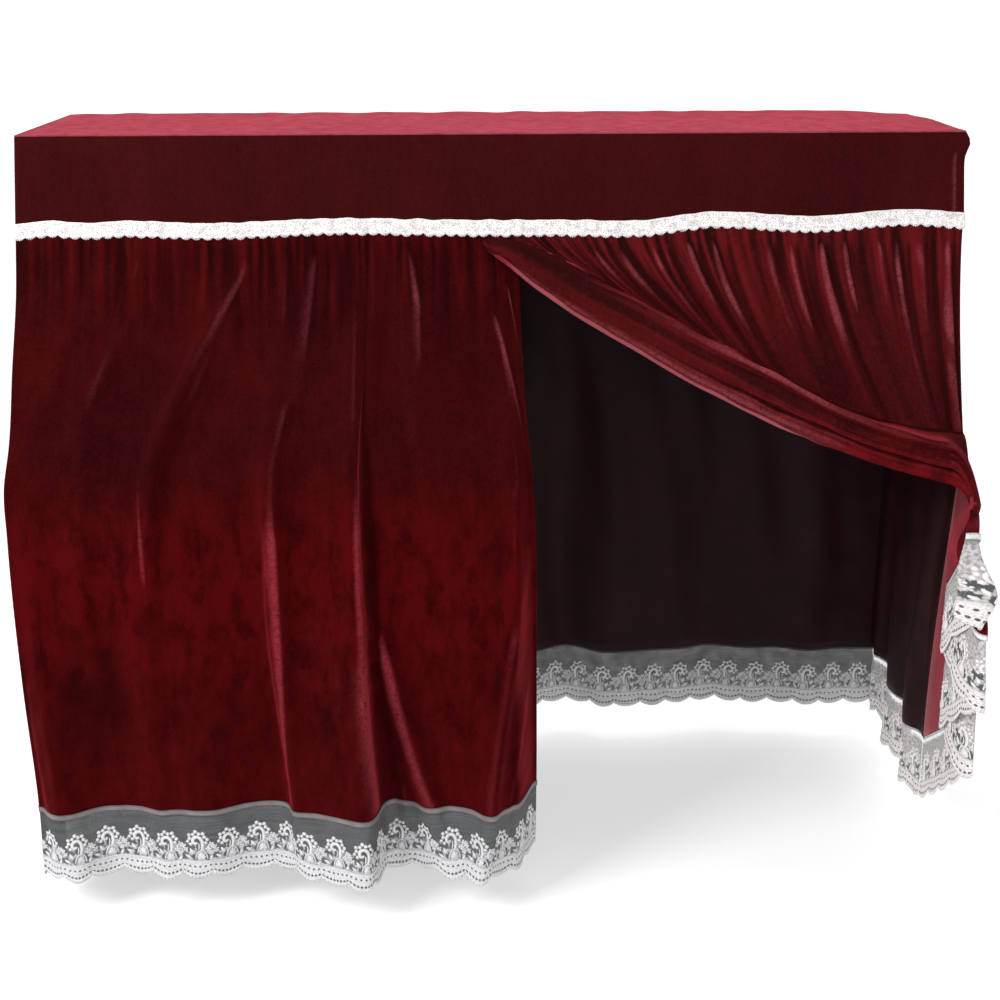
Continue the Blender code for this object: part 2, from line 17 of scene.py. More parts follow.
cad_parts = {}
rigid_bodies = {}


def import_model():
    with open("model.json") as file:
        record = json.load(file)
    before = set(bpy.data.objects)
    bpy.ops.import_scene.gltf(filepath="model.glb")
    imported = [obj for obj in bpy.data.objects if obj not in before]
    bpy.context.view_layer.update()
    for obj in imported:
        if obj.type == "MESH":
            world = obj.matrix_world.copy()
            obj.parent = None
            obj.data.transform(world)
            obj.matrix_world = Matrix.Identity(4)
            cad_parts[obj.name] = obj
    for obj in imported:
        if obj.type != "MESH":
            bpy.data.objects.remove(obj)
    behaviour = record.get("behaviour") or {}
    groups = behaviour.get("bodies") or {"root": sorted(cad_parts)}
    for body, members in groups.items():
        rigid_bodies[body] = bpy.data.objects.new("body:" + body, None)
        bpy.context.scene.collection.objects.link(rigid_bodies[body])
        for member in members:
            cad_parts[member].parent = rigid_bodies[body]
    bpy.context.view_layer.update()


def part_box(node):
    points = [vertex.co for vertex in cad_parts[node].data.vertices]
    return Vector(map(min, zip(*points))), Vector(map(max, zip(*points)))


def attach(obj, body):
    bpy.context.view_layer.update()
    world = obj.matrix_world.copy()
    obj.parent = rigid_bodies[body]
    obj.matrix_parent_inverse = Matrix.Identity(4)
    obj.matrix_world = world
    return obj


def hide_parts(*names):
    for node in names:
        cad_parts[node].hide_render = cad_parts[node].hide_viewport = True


bl_info = {
    "name": "Piano Cover",
    "version": (1, 0, 0),
    "blender": (4, 5, 0),
    "location": "3D Viewport > Sidebar > Cover",
    "description": "Makes a velvet cover for an upright piano, with its lace, on the packed solids",
    "category": "Add Mesh",
}

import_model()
FINE = 1


def table(fields, *rows):
    """Rows whose values can be read by name."""
    kind = namedtuple("Row", fields)
    return [kind(*row) for row in rows]


# Sizes and lines that come from the solids
HALF_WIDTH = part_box("top_panel")[1].x
HALF_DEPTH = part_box("top_panel")[1].y
VELVET = 0.0020  # thickness of each cloth
TULLE = 0.0004
TAPE = 0.0012
TRIM = 0.0008
GAP = 0.0003  # between two cloths that meet
SEAM_GAP = 0.0008
FLARE_SIDE = 0.011  # how far the band leans outwards from its top to the seam
FLARE_FRONT = 0.0035
SEAM_DROP = 0.150
HEM_DROP = 1.068
LEAF_LENGTH = 0.995  # of the left leaf's velvet, along its slope
WALL_LENGTH = HEM_DROP - SEAM_DROP
LACE_RUN = 1.15  # where the lace ends, as a share of the velvet's length
FOLD_DEPTH = 0.016  # of the folds in the side and back walls, at the hem
TRIM_HALF = 0.0145
TRIM_REACH = 0.017  # below the seam, behind which nothing rises
LEAF_OVERLAP = 0.0026  # how far the leaves and the trim bulge where both leaves are sewn in
COVER_OFFSET = VELVET / 2 + 0.00045 + TAPE / 2  # of a trim or tape outside the velvet's middle
HEM_SWAY, SWAY_START, SWAY_PITCH = 0.016, -0.43, 0.235  # of the left leaf's hem, in and out
SEAM_FADE = 0.25  # the share of a cloth below which the seam's waves no longer move it
SHELF_RUN = 0.45  # where the left leaf bends down over the keyboard's edge
LEAF_SAG = 0.030  # of the left leaf's free edge, above that bend
LEAF_CURL, CURL_START = 0.085, 0.955  # how far the same edge turns inwards, and where that starts
SWEPT_START, SWEPT_END = -0.012, 0.774  # both ends of the right leaf, along the seam
RIDGE_SHARE = 0.29  # where the bundle's ridge lies across it
BUNDLE_CROWN = 0.16  # how far its lower part swells, as a share of its height
RIM_DRAW = 0.030  # how far its free edge is drawn back at its right end
SIDE_TURN = 0.34  # the share of the right leaf's outer edge that lies above the bundle
FRONT_SEAM = table(
    "x z", (-0.790, -0.156), (-0.710, -0.149), (-0.655, -0.153), (-0.610, -0.150), (-0.470, -0.154),
    (-0.240, -0.147), (-0.080, -0.150), (0.120, -0.151), (0.255, -0.152), (0.350, -0.140),
    (0.530, -0.147), (0.690, -0.137), (0.790, -0.144),
)  # fmt: skip
LEAF_PROFILE = table(
    "run y z", (0.000, -0.1945, -0.150), (0.020, -0.1950, -0.170), (0.100, -0.236, -0.238),
    (0.250, -0.332, -0.355), (0.385, -0.418, -0.460), (0.450, -0.446, -0.517), (0.530, -0.454, -0.595),
    (1.000, -0.452, -1.068), (1.150, -0.450, -1.216),
)  # fmt: skip
LEAF_EDGES = table(
    "run corner opening", (0.00, -0.776, 0.046), (0.02, -0.7775, 0.047), (0.10, -0.772, 0.049),
    (0.25, -0.763, 0.052), (0.38, -0.755, 0.060), (0.45, -0.760, 0.066), (0.53, -0.760, 0.070),
    (0.80, -0.757, 0.074), (1.00, -0.752, 0.075), (1.15, -0.756, 0.074),
)  # fmt: skip
FOLD_RUNS = (0.05, 0.43, 0.72, 1.0)
LEFT_FOLDS = table(
    "upper shelf middle hem rise_upper rise_shelf rise_lace left right",
    (-0.735, -0.738, -0.735, -0.700, 0.000, 0.002, 0.022, 0.030, 0.040),
    (-0.600, -0.640, -0.650, -0.615, 0.003, 0.006, 0.010, 0.035, 0.030),
    (-0.380, -0.530, -0.553, -0.550, 0.012, 0.018, 0.016, 0.045, 0.022),
    (-0.325, -0.346, -0.341, -0.312, 0.005, 0.018, 0.020, 0.022, 0.035),
    (-0.190, -0.209, -0.208, -0.205, 0.012, 0.026, 0.058, 0.055, 0.016),
    (-0.130, -0.165, -0.172, -0.102, 0.006, 0.004, 0.020, 0.018, 0.024),
    (0.000, 0.040, 0.035, -0.002, 0.008, 0.014, 0.026, 0.022, 0.016),
)
SWAG_SECTIONS = table(
    "x trough_y trough_z ridge_y ridge_z rim_y rim_z",
    (SWEPT_START, -0.1980, -0.1670, -0.2010, -0.1700, -0.2050, -0.1840),
    (0.035, -0.1985, -0.1690, -0.2060, -0.1730, -0.2140, -0.2180),
    (0.080, -0.2005, -0.1840, -0.2130, -0.1910, -0.2240, -0.2530),
    (0.150, -0.2050, -0.2180, -0.2240, -0.2270, -0.2380, -0.2985),
    (0.250, -0.2130, -0.2690, -0.2520, -0.2720, -0.2640, -0.3530),
    (0.355, -0.2280, -0.3230, -0.2870, -0.3250, -0.2980, -0.4110),
    (0.455, -0.2450, -0.3700, -0.3230, -0.3640, -0.3340, -0.4560),
    (0.560, -0.2650, -0.4150, -0.3660, -0.4090, -0.3750, -0.4810),
    (0.660, -0.2860, -0.4450, -0.4060, -0.4370, -0.4170, -0.5030),
    (0.775, -0.2950, -0.4600, -0.4380, -0.4560, -0.4600, -0.5220),
)
HANG_LEAN = table(
    "x shift", (SWEPT_START, 0.000), (0.050, 0.065), (0.150, 0.122), (0.300, 0.118), (0.450, 0.100),
    (0.560, 0.098), (0.660, 0.066), (SWEPT_END, 0.000),
)  # fmt: skip
HANG_PLEATS = table(
    "x rise width", (0.155, 0.006, 0.020), (0.210, 0.007, 0.020), (0.262, 0.005, 0.016),
    (0.325, 0.010, 0.020), (0.365, 0.008, 0.016), (0.460, 0.010, 0.022), (0.545, 0.012, 0.020),
    (0.600, 0.007, 0.018), (0.670, 0.009, 0.022), (0.746, 0.008, 0.011),
)  # fmt: skip
CASCADE = table(
    "share rib x y z",
    (0.000, 0.000, 0.7765, -0.207, -1.066), (0.090, 0.000, 0.7860, -0.315, -0.990),
    (0.185, 0.000, 0.7980, -0.419, -0.906), (0.205, 0.001, 0.7960, -0.428, -0.906),
    (0.225, 0.001, 0.7910, -0.420, -0.906), (0.320, 0.003, 0.7880, -0.357, -0.854),
    (0.350, 0.000, 0.7850, -0.348, -0.853), (0.380, -0.003, 0.7800, -0.356, -0.852),
    (0.460, -0.003, 0.7810, -0.425, -0.798), (0.550, 0.003, 0.7830, -0.486, -0.755),
    (0.580, 0.004, 0.7805, -0.495, -0.752), (0.610, 0.004, 0.7755, -0.487, -0.750),
    (0.690, -0.003, 0.7725, -0.402, -0.697), (0.720, -0.004, 0.7690, -0.393, -0.697),
    (0.750, -0.003, 0.7640, -0.401, -0.697), (0.860, 0.004, 0.7650, -0.445, -0.625),
    (0.940, 0.003, 0.7680, -0.474, -0.590), (1.000, 0.000, 0.7440, -0.476, -0.588),
)  # fmt: skip
INWARD_SHARES = (0.0, 0.205, 0.35, 0.58, 0.72, 0.88, 1.0)  # how far the cascade's inner turns lie inwards
INWARD = (0.0, 0.0, 0.024, 0.0, 0.030, 0.012, 0.006)
BACK_CORNER = table(
    "run x y z", (0.00, 0.7752, 0.1945, -0.150), (0.02, 0.7765, 0.1950, -0.168),
    (0.10, 0.7785, 0.1964, -0.242), (0.30, 0.7800, 0.1999, -0.426), (0.65, 0.7795, 0.2060, -0.747),
    (1.00, 0.7780, 0.2120, -1.068), (1.16, 0.7780, 0.2147, -1.215),
)  # fmt: skip

# Cloth lengths before gathering, and other sizes of the looks
LEFT_CUT, RIGHT_CUT, SIDE_CUT, BACK_CUT = 1.15, 0.82, 0.60, 1.90
TAPE_ABOVE, TAPE_BELOW = 0.004, 0.0055
LACE_DEPTH, LACE_SCALLOP = 0.1160, 0.0103  # of the hem lace between two scallops, and what a scallop adds
TRIM_DEPTH, TRIM_SCALLOP = 0.0236, 0.0036
HEM_CARRIER, TRIM_CARRIER = (-0.012, 0.136), (-0.002, 0.032)  # depths on which motifs may lie
TRIM_WOBBLE = 0.0011
LONGEST_CORNER = 2.0
RIDGE_SINK = 0.015  # how much lower the velvet's bundle lies along its ridge, towards its right end
RIM_LIFT = 0.010
START_LIFT = 0.014  # how much the bundle's first fold is drawn up under the trim
END_START = 0.715  # the place from which the bundle bends down over the keyboard's end
END_REACH, END_DROP = 0.054, 0.100
WAIST = 0.020  # how far the cascade is drawn in at half its height
POUCH, CORNER_DIP = 0.010, 0.006  # at the top's right corner
LIP_RADIUS, LEAST_LIP, LIP_ROWS = 0.0026, 0.003, 10  # of the swept leaf's turned edge
CREST_REACH = 0.0050
LACE_START = 0.0006  # of the hem lace's net below the velvet
CARRIER_EDGE = 0.0003  # how far the motifs stay from both ends of their cloth
FLOOR = -1.2620
FLOOR_GLOW, WORLD_LIGHT = 0.55, 0.45
BACKDROP_START, BACKDROP_BEND, BACKDROP_TOP, BACKDROP_REACH = 2.6, 1.4, 6.0, 9.0
SENSOR_WIDTH, FOCAL_LENGTH, CAMERA_SHIFT = 36.0, 59.76, 0.009
CAMERA_PITCH, CAMERA_ROLL = 18.0, -0.28
CAMERA_PLACE = (0.0, -2.915, 0.266)
NET_REPEAT = 0.05  # of the hem lace, in its own map
# Gaps of the hem lace's ground: share of the repeat and depth, then half its width and half its height
LACE_GAPS = (
    ((0.26, 0.0665), (0.0096, 0.0084)),
    ((0.54, 0.0640), (0.0046, 0.0094)),
    ((0.12, 0.0820), (0.0084, 0.0062)),
    ((0.80, 0.0825), (0.0060, 0.0080)),
    ((0.42, 0.0835), (0.0046, 0.0068)),
)
# Rows of eyelets in the hem lace: how many a repeat, their depth at its ends, how much deeper they lie at
# its middle, and their radius
EYELETS = ((6.0, 0.0985, 0.0040, 0.0023), (8.0, 0.1080, 0.0078, 0.0026))
# Velvets: their painted shade and painted light, how much the pile is crushed, how far painted shade darkens
# slopes that face up, how much the gathers are raised and shaded, and the sheen. All are copies of one
# velvet.
VELVETS = {
    "Velvet": ("velvet_painted_shade", "velvet_lit", 1.0, 0.26, 1.0, 0.42),
    "Velvet, Walls": ("velvet_painted_shade", "velvet_lit", 0.5, 0.26, 1.0, 0.42),
    "Velvet, Swept": ("swept_painted_shade", "swept_lit", 1.0, 0.45, 1.7, 0.26),
    "Velvet Band": ("band_painted_shade", "band", 0.35, 0.0, 0.0, 0.42),
    "Velvet Top": ("top_painted_shade", "top", 6.0, 0.0, 0.0, 0.25),
}
# Nets of the hem lace: the closed one is grey with painted shade, the open one is pale where it hangs
# single. Their colour, their thread's, how closed they are, how far down their white ground starts and how
# far painted shade closes their gaps
NETS = {
    "Lace Net": ("tulle", "lace", 1.0, 0.057, 0.0),
    "Lace Net, Open": ("net_open", "trim", 0.32, 0.010, 0.75),
}
TURNED_HIGHLIGHT = (0.285, 0.060, 0.079, 1.0)  # painted highlight on the woven back at its turned edge

# Sharp creases on the left leaf's folds: their places at three shares of the run, how far they stand out and
# how wide they are. A negative rise is a trough.
CREASE = "run_a x_a run_b x_b run_c x_c rise width"
LEFT_CREASES = table(
    CREASE,
    (0.03, -0.370, 0.36, -0.507, 0.64, -0.553, 0.0070, 0.009),
    (0.06, -0.395, 0.36, -0.480, 0.47, -0.520, -0.0050, 0.010),
    (0.04, -0.610, 0.28, -0.697, 0.42, -0.728, 0.0050, 0.015),
    (0.10, -0.560, 0.30, -0.655, 0.45, -0.690, -0.0040, 0.016),
    (0.03, -0.540, 0.20, -0.590, 0.34, -0.640, 0.0030, 0.012),
    (0.02, -0.330, 0.10, -0.331, 0.19, -0.332, 0.0045, 0.005),
    (0.02, -0.242, 0.10, -0.243, 0.20, -0.244, 0.0050, 0.005),
    (0.02, -0.284, 0.10, -0.290, 0.24, -0.300, 0.0030, 0.008),
    (0.02, -0.216, 0.45, -0.212, 0.97, -0.196, 0.0050, 0.010),
    (0.03, -0.202, 0.45, -0.193, 0.80, -0.186, -0.0090, 0.009),
    (0.66, -0.193, 0.80, -0.180, 0.99, -0.160, -0.0110, 0.012),
    (0.02, -0.135, 0.08, -0.126, 0.15, -0.116, 0.0050, 0.005),
    (0.02, -0.080, 0.12, -0.084, 0.28, -0.090, 0.0030, 0.009),
    (0.30, -0.318, 0.42, -0.338, 0.56, -0.342, 0.0045, 0.006),
    (0.34, -0.346, 0.62, -0.338, 0.99, -0.322, 0.0080, 0.012),
    (0.50, -0.358, 0.72, -0.362, 0.97, -0.335, -0.0050, 0.012),
    (0.66, -0.196, 0.80, -0.157, 0.99, -0.096, 0.0070, 0.016),
    (0.07, 0.020, 0.24, 0.047, 0.44, 0.062, 0.0050, 0.005),
    (0.15, 0.004, 0.29, 0.033, 0.42, 0.056, 0.0060, 0.005),
    (0.53, 0.058, 0.72, 0.030, 0.99, -0.004, 0.0050, 0.013),
    (0.78, 0.058, 0.88, 0.043, 0.99, 0.024, 0.0050, 0.007),
    (0.48, -0.642, 0.62, -0.650, 0.80, -0.618, 0.0040, 0.013),
    (0.74, -0.748, 0.88, -0.744, 1.00, -0.726, 0.0060, 0.014),
    (0.55, -0.470, 0.75, -0.468, 0.98, -0.455, 0.0030, 0.020),
    (0.60, -0.270, 0.80, -0.268, 0.99, -0.262, 0.0040, 0.014),
    (0.45, -0.080, 0.62, -0.070, 0.80, -0.050, 0.0030, 0.016),
)
# Painted highlights along the left leaf's creases: the same places, how bright and how wide
LEFT_PAINTED_HIGHLIGHTS = table(
    CREASE,
    (0.46, -0.341, 0.66, -0.339, 1.00, -0.328, 0.62, 0.0046),
    (0.50, -0.352, 0.56, -0.352, 0.62, -0.348, 0.30, 0.0030),
    (0.44, -0.207, 0.70, -0.205, 1.00, -0.188, 0.46, 0.0032),
    (0.76, -0.205, 0.90, -0.194, 1.00, -0.190, 0.45, 0.0060),
    (0.66, -0.180, 0.84, -0.147, 1.00, -0.098, 0.48, 0.0070),
    (0.64, 0.046, 0.76, 0.026, 0.97, -0.002, 0.30, 0.0060),
    (0.84, 0.040, 0.92, 0.036, 1.00, 0.026, 0.18, 0.0050),
    (0.43, -0.545, 0.53, -0.546, 0.64, -0.544, 0.50, 0.0030),
    (0.50, -0.503, 0.56, -0.505, 0.64, -0.505, 0.25, 0.0080),
    (0.62, -0.250, 0.75, -0.246, 0.92, -0.252, 0.22, 0.0110),
    (0.26, -0.498, 0.34, -0.524, 0.43, -0.549, 0.36, 0.0080),
    (0.70, -0.190, 0.90, -0.165, 1.00, -0.140, 0.33, 0.0420),
    (0.00, -0.285, 0.22, -0.300, 0.52, -0.310, 0.40, 0.0220),
    (0.00, -0.105, 0.22, -0.118, 0.50, -0.128, 0.38, 0.0220),
    (0.00, -0.375, 0.20, -0.440, 0.42, -0.500, 0.38, 0.0100),
    (0.00, -0.560, 0.20, -0.610, 0.40, -0.650, 0.36, 0.0120),
    (0.01, -0.337, 0.07, -0.341, 0.14, -0.345, 0.36, 0.0025),
    (0.04, -0.222, 0.22, -0.217, 0.44, -0.213, 0.22, 0.0040),
    (0.10, -0.118, 0.17, -0.116, 0.26, -0.112, 0.18, 0.0040),
)
# Fine pleats on the right leaf's hanging part: place along the seam, rise, width and how far down they reach
RIGHT_PLEATS = table(
    "x rise width reach", (0.095, 0.0035, 0.005, 0.60), (0.156, 0.0045, 0.006, 0.75),
    (0.178, -0.0040, 0.007, 1.00), (0.205, 0.0050, 0.006, 0.75), (0.232, -0.0045, 0.008, 1.00),
    (0.258, 0.0055, 0.006, 0.55), (0.288, -0.0040, 0.010, 0.90), (0.320, 0.0060, 0.007, 0.60),
    (0.340, -0.0055, 0.007, 1.00), (0.361, 0.0060, 0.007, 0.75), (0.385, -0.0050, 0.010, 0.90),
    (0.452, 0.0060, 0.008, 0.55), (0.470, -0.0040, 0.006, 0.80), (0.488, 0.0072, 0.007, 0.75),
    (0.512, -0.0050, 0.010, 1.00), (0.540, 0.0070, 0.007, 1.30), (0.558, -0.0045, 0.007, 1.00),
    (0.578, 0.0070, 0.007, 0.55), (0.606, -0.0040, 0.010, 0.80), (0.636, 0.0045, 0.006, 0.50),
    (0.664, 0.0055, 0.006, 0.60), (0.684, -0.0050, 0.008, 1.00), (0.706, 0.0035, 0.006, 0.60),
    (0.726, -0.0035, 0.007, 1.00), (0.750, 0.0065, 0.005, 1.30),
)  # fmt: skip
# Lengthwise ribs of the swept bundle: share across it, the place where each begins, rise and width
BUNDLE_RIBS = table(
    "share start rise width", (0.30, 0.10, 0.0030, 0.035), (0.38, 0.30, -0.0030, 0.035),
    (0.46, 0.34, 0.0035, 0.040), (0.55, 0.42, -0.0030, 0.035), (0.63, 0.36, 0.0035, 0.040),
    (0.72, 0.30, -0.0040, 0.040), (0.80, 0.44, 0.0035, 0.035), (0.88, 0.20, -0.0035, 0.035),
)  # fmt: skip


def length_property(name, description, default, least):
    return FloatProperty(name=name, description=description, default=default, min=least, unit="LENGTH")


def colour_property(name, description, *default):
    return FloatVectorProperty(
        name=name, description=description, default=default, size=3, subtype="COLOR", min=0.0, max=1.0
    )


class CoverSizes(PropertyGroup):
    """Sizes of the cover's fine work."""

    gather_pitch: length_property("Gather Pitch", "Mean distance between two fine gathers", 0.0155, 0.005)
    gather_rise: length_property("Gather Rise", "How far a fine gather stands out", 0.0044, 0.0)
    gather_reach: length_property("Gather Reach", "How far down the gathers fade away", 0.15, 0.02)
    lip_width: length_property("Turned Edge", "Width of the swept leaf's turned edge", 0.014, 0.002)
    lace_repeat: length_property("Lace Repeat", "Width of one repeat of the hem lace", 0.0535, 0.02)
    trim_repeat: length_property("Trim Repeat", "Width of one repeat of the lace trim", 0.018, 0.008)
    stitch_pitch: length_property("Stitch Pitch", "Distance between the tape's stitches", 0.0055, 0.002)
    seed: IntProperty(name="Seed", description="Seed of the uneven gathers", default=7)


class CoverColours(PropertyGroup):
    """Colours of the cover's cloths, with the painted light and shade of their pile."""

    # Each pair is painted shade and painted light of the same pile; the pile mixes between them.
    velvet_painted_shade: colour_property("Velvet, Deep", "Pile seen from the front", 0.0145, 0.0010, 0.0012)
    velvet_lit: colour_property("Velvet, Lit", "Pile that leans to the light", 0.0560, 0.0021, 0.0027)
    # The swept leaf's pair is a brighter painted-light copy of the same velvet.
    swept_painted_shade: colour_property("Swept, Deep", "Swept leaf's pile from the front", 0.0185, 0.0026, 0.0026)
    swept_lit: colour_property("Swept, Lit", "Swept leaf's pile towards the light", 0.0930, 0.0058, 0.0075)
    # Painted highlight along the folds' crests.
    velvet_crest_highlight: colour_property("Velvet, Crests", "Pile crushed along a crest", 0.205, 0.037, 0.045)
    # The bands' own pair of painted shade and painted light.
    band: colour_property("Band", "Smooth pile of the bands", 0.0500, 0.0042, 0.0046)
    band_painted_shade: colour_property("Band, Deep", "The bands' pile seen from the front", 0.0150, 0.0018, 0.0020)
    # The top's pair is painted light: much brighter and pinker than the skirt, for the top seen at a grazing
    # angle.
    top: colour_property("Top", "Top panel's pile in full light", 0.300, 0.050, 0.074)
    top_painted_shade: colour_property("Top, Deep", "Top's pile brushed away from the light", 0.165, 0.027, 0.040)
    velvet_sheen: colour_property("Sheen", "Light that the pile's tips catch", 1.0, 0.075, 0.105)
    reverse: colour_property("Reverse", "Woven back of the velvet", 0.270, 0.020, 0.034)
    # Painted shade: the back seen inside the cover, far darker than the reverse's own colour.
    reverse_painted_shade: colour_property("Reverse, Inside", "Woven back inside the cover", 0.018, 0.0035, 0.0045)
    lace: colour_property("Lace", "Embroidery thread of the hem", 0.690, 0.690, 0.700)
    trim: colour_property("Trim", "Thread of the narrow trim", 0.830, 0.790, 0.775)
    # Painted shade: the sheer net is a dark grey for the shade behind it, and the same colour fills the
    # lace's gaps.
    tulle: colour_property("Net", "Fine net of the hem lace", 0.096, 0.100, 0.102)
    net_open: colour_property("Net, Open", "Fine net where it hangs single", 0.820, 0.825, 0.830)
    tape: colour_property("Tape", "Header tape", 0.190, 0.166, 0.164)
    floor: colour_property("Floor", "Pale studio floor", 0.62, 0.62, 0.62)


# Curves and steps


def smooth(values, knots, at):
    """Values at these places of a smooth curve through the knots."""
    slopes = np.gradient(values, knots, axis=0)
    i = np.clip(np.searchsorted(knots, at) - 1, 0, len(knots) - 2)
    span = (knots[i + 1] - knots[i])[..., None]
    part = np.clip((at - knots[i])[..., None] / span, 0.0, 1.0)
    rest = 1 - part
    start = values[i] * (1 + 2 * part) * rest**2 + slopes[i] * span * part * rest**2
    return start + (values[i + 1] * part * part * (3 - 2 * part) - slopes[i + 1] * span * part * part * rest)


def through(rows, key, at):
    """A table's values at those of its column key."""
    values = np.array(rows, float)
    found = smooth(values, values[:, rows[0]._fields.index(key)], np.asarray(at, float))
    return type(rows[0])(*np.moveaxis(found, -1, 0))


def ease(value, start=0.0, end=1.0):
    """0 before start, 1 after end and a soft step between."""
    part = np.clip((value - start) / (end - start), 0.0, 1.0)
    return part * part * (3 - 2 * part)


def hump(away, width):
    return np.exp(-((away / width) ** 2))


def leaning(away, width):
    """A ridge that rises gently from the left and falls steeply to the right."""
    return hump(away, np.where(away < 0, 1.7, 0.85) * width)


def inside(share, width):
    """1 well inside a cloth and 0 at both its edges, with a soft step of this width."""
    return ease(share, 0.0, width) * ease(-share, -1.0, width - 1.0)


def point(x, y, z):
    return np.stack(np.broadcast_arrays(x, y, z), axis=-1)


def unit(vectors, least=1e-9):
    return vectors / np.maximum(np.linalg.norm(vectors, axis=-1, keepdims=True), least)


def lifted(net, heights):
    """The net moved outwards by these heights."""
    return net + unit(normals(net)) * heights[..., None]


def uneven(seed, *lengths):
    """A soft, uneven height from -1 to 1 that changes over these lengths, for points given as columns."""
    rng = np.random.default_rng(seed)
    waves = [(rng.uniform(0.7, 1.6, len(lengths)) / lengths, rng.uniform(0, 1)) for _ in range(7)]

    def height(*places):
        total = 0.0
        for rates, phase in waves:
            turns = phase + sum(rate * place for rate, place in zip(rates, places))
            total = total + np.sin(math.tau * turns)
        return total / len(waves) * 1.6

    return height


def gathers(along, down, seed, start, end, size):
    """Fine, uneven gathers that start at a seam and fade away below it."""
    rng = np.random.default_rng(seed)
    total = 0.0
    place = start
    while place < end:
        width = size.gather_pitch * rng.uniform(0.24, 0.42)
        rise = size.gather_rise * rng.uniform(0.35, 1.2)
        reach = size.gather_reach * rng.uniform(0.45, 1.5)
        lean = rng.uniform(-0.05, 0.05)
        spread = width * (1 + 1.6 * np.clip(down, 0, 1) / reach)
        fade = ease(down, 0.0, 0.022) * np.exp(-((np.clip(down, 0, 9) / reach) ** 2))
        total = total + rise * hump(along - place - lean * down, spread) * fade
        place += size.gather_pitch * rng.uniform(0.7, 1.35)
    return total


# Cloths as meshes


def normals(net):
    """Outward directions at the points of a net, [across, down], of a cloth seen from outside, longer at
    a sharp fold, so that a sheet about the net keeps its thickness there."""
    rising = net[1:, 1:] - net[:-1, :-1]
    falling = net[:-1, 1:] - net[1:, :-1]
    cells = np.nan_to_num(unit(np.cross(falling, rising), 1e-15))
    total = np.zeros(net.shape)
    count = np.zeros((*net.shape[:2], 1))
    for across in (slice(None, -1), slice(1, None)):
        for down in (slice(None, -1), slice(1, None)):
            total[across, down] += cells
            count[across, down] += np.any(cells, axis=2, keepdims=True)
    mean = total / np.maximum(count, 1)
    length = np.linalg.norm(mean, axis=2, keepdims=True)
    length[length == 0] = 1
    return mean / length * np.minimum(1 / length, LONGEST_CORNER)


def crest(net, reach, share=1.0, soften=2):
    """How strongly a net is folded across its columns: above 0 on a ridge and below it in a trough.

    share is how much of the ridges is kept, and soften how many times it is smoothed."""
    out = unit(normals(net))
    bend = np.zeros(net.shape[:2])
    side = np.nan_to_num(np.linalg.norm(net[1:] - net[:-1], axis=2), nan=1.0)
    step = net[2:] - 2 * net[1:-1] + net[:-2]
    mean = np.maximum((side[1:] + side[:-1]) / 2, 1e-5)
    bend[1:-1] = np.nan_to_num(-(step * out[1:-1]).sum(axis=2) / mean**2)
    for _ in range(soften):
        bend[1:-1] = (bend[:-2] + 2 * bend[1:-1] + bend[2:]) / 4
    tone = np.tanh(bend * reach)
    return np.where(tone > 0, tone * share, tone)


def lengths_along(line):
    """Distances along a line of points from its first one."""
    return np.concatenate([[0.0], np.cumsum(np.linalg.norm(np.diff(line, axis=0), axis=1))])


def net_lengths(net):
    """Distances across and down a net, as its own map in metres."""
    across = np.nanmean(np.linalg.norm(np.diff(net, axis=0), axis=2), axis=1)
    down = np.nan_to_num(np.linalg.norm(np.diff(net, axis=1), axis=2))
    u = np.concatenate([[0.0], np.cumsum(across)])
    v = np.concatenate([np.zeros((len(net), 1)), np.cumsum(down, axis=1)], axis=1)
    return np.broadcast_to(u[:, None], v.shape), v


def cells_of(number):
    """The four-sided cells of a grid of point numbers."""
    corners = [number[:-1, :-1], number[:-1, 1:], number[1:, 1:], number[1:, :-1]]
    return np.stack(corners, axis=-1).reshape(-1, 4)


def add_mesh(name, points, faces, materials=(), chosen=None):
    """A piece from points and a list of face arrays, one for each number of corners."""
    mesh = bpy.data.meshes.new(name)
    loops = np.concatenate([part.reshape(-1) for part in faces]).astype(np.int32)
    counts = np.concatenate([np.full(len(part), part.shape[1]) for part in faces])
    mesh.vertices.add(len(points))
    mesh.vertices.foreach_set("co", np.asarray(points, np.float32).reshape(-1))
    mesh.loops.add(len(loops))
    mesh.loops.foreach_set("vertex_index", loops)
    mesh.polygons.add(len(counts))
    starts = np.concatenate([[0], np.cumsum(counts)[:-1]]).astype(np.int32)
    mesh.polygons.foreach_set("loop_start", starts)
    for material in materials:
        mesh.materials.append(material)
    if chosen is not None:
        mesh.polygons.foreach_set("material_index", np.asarray(chosen, np.int32))
    mesh.polygons.foreach_set("use_smooth", np.full(len(counts), True))
    mesh.update(calc_edges=True)
    mesh.validate()
    piece = bpy.data.objects.new(name, mesh)
    bpy.context.scene.collection.objects.link(piece)
    return piece


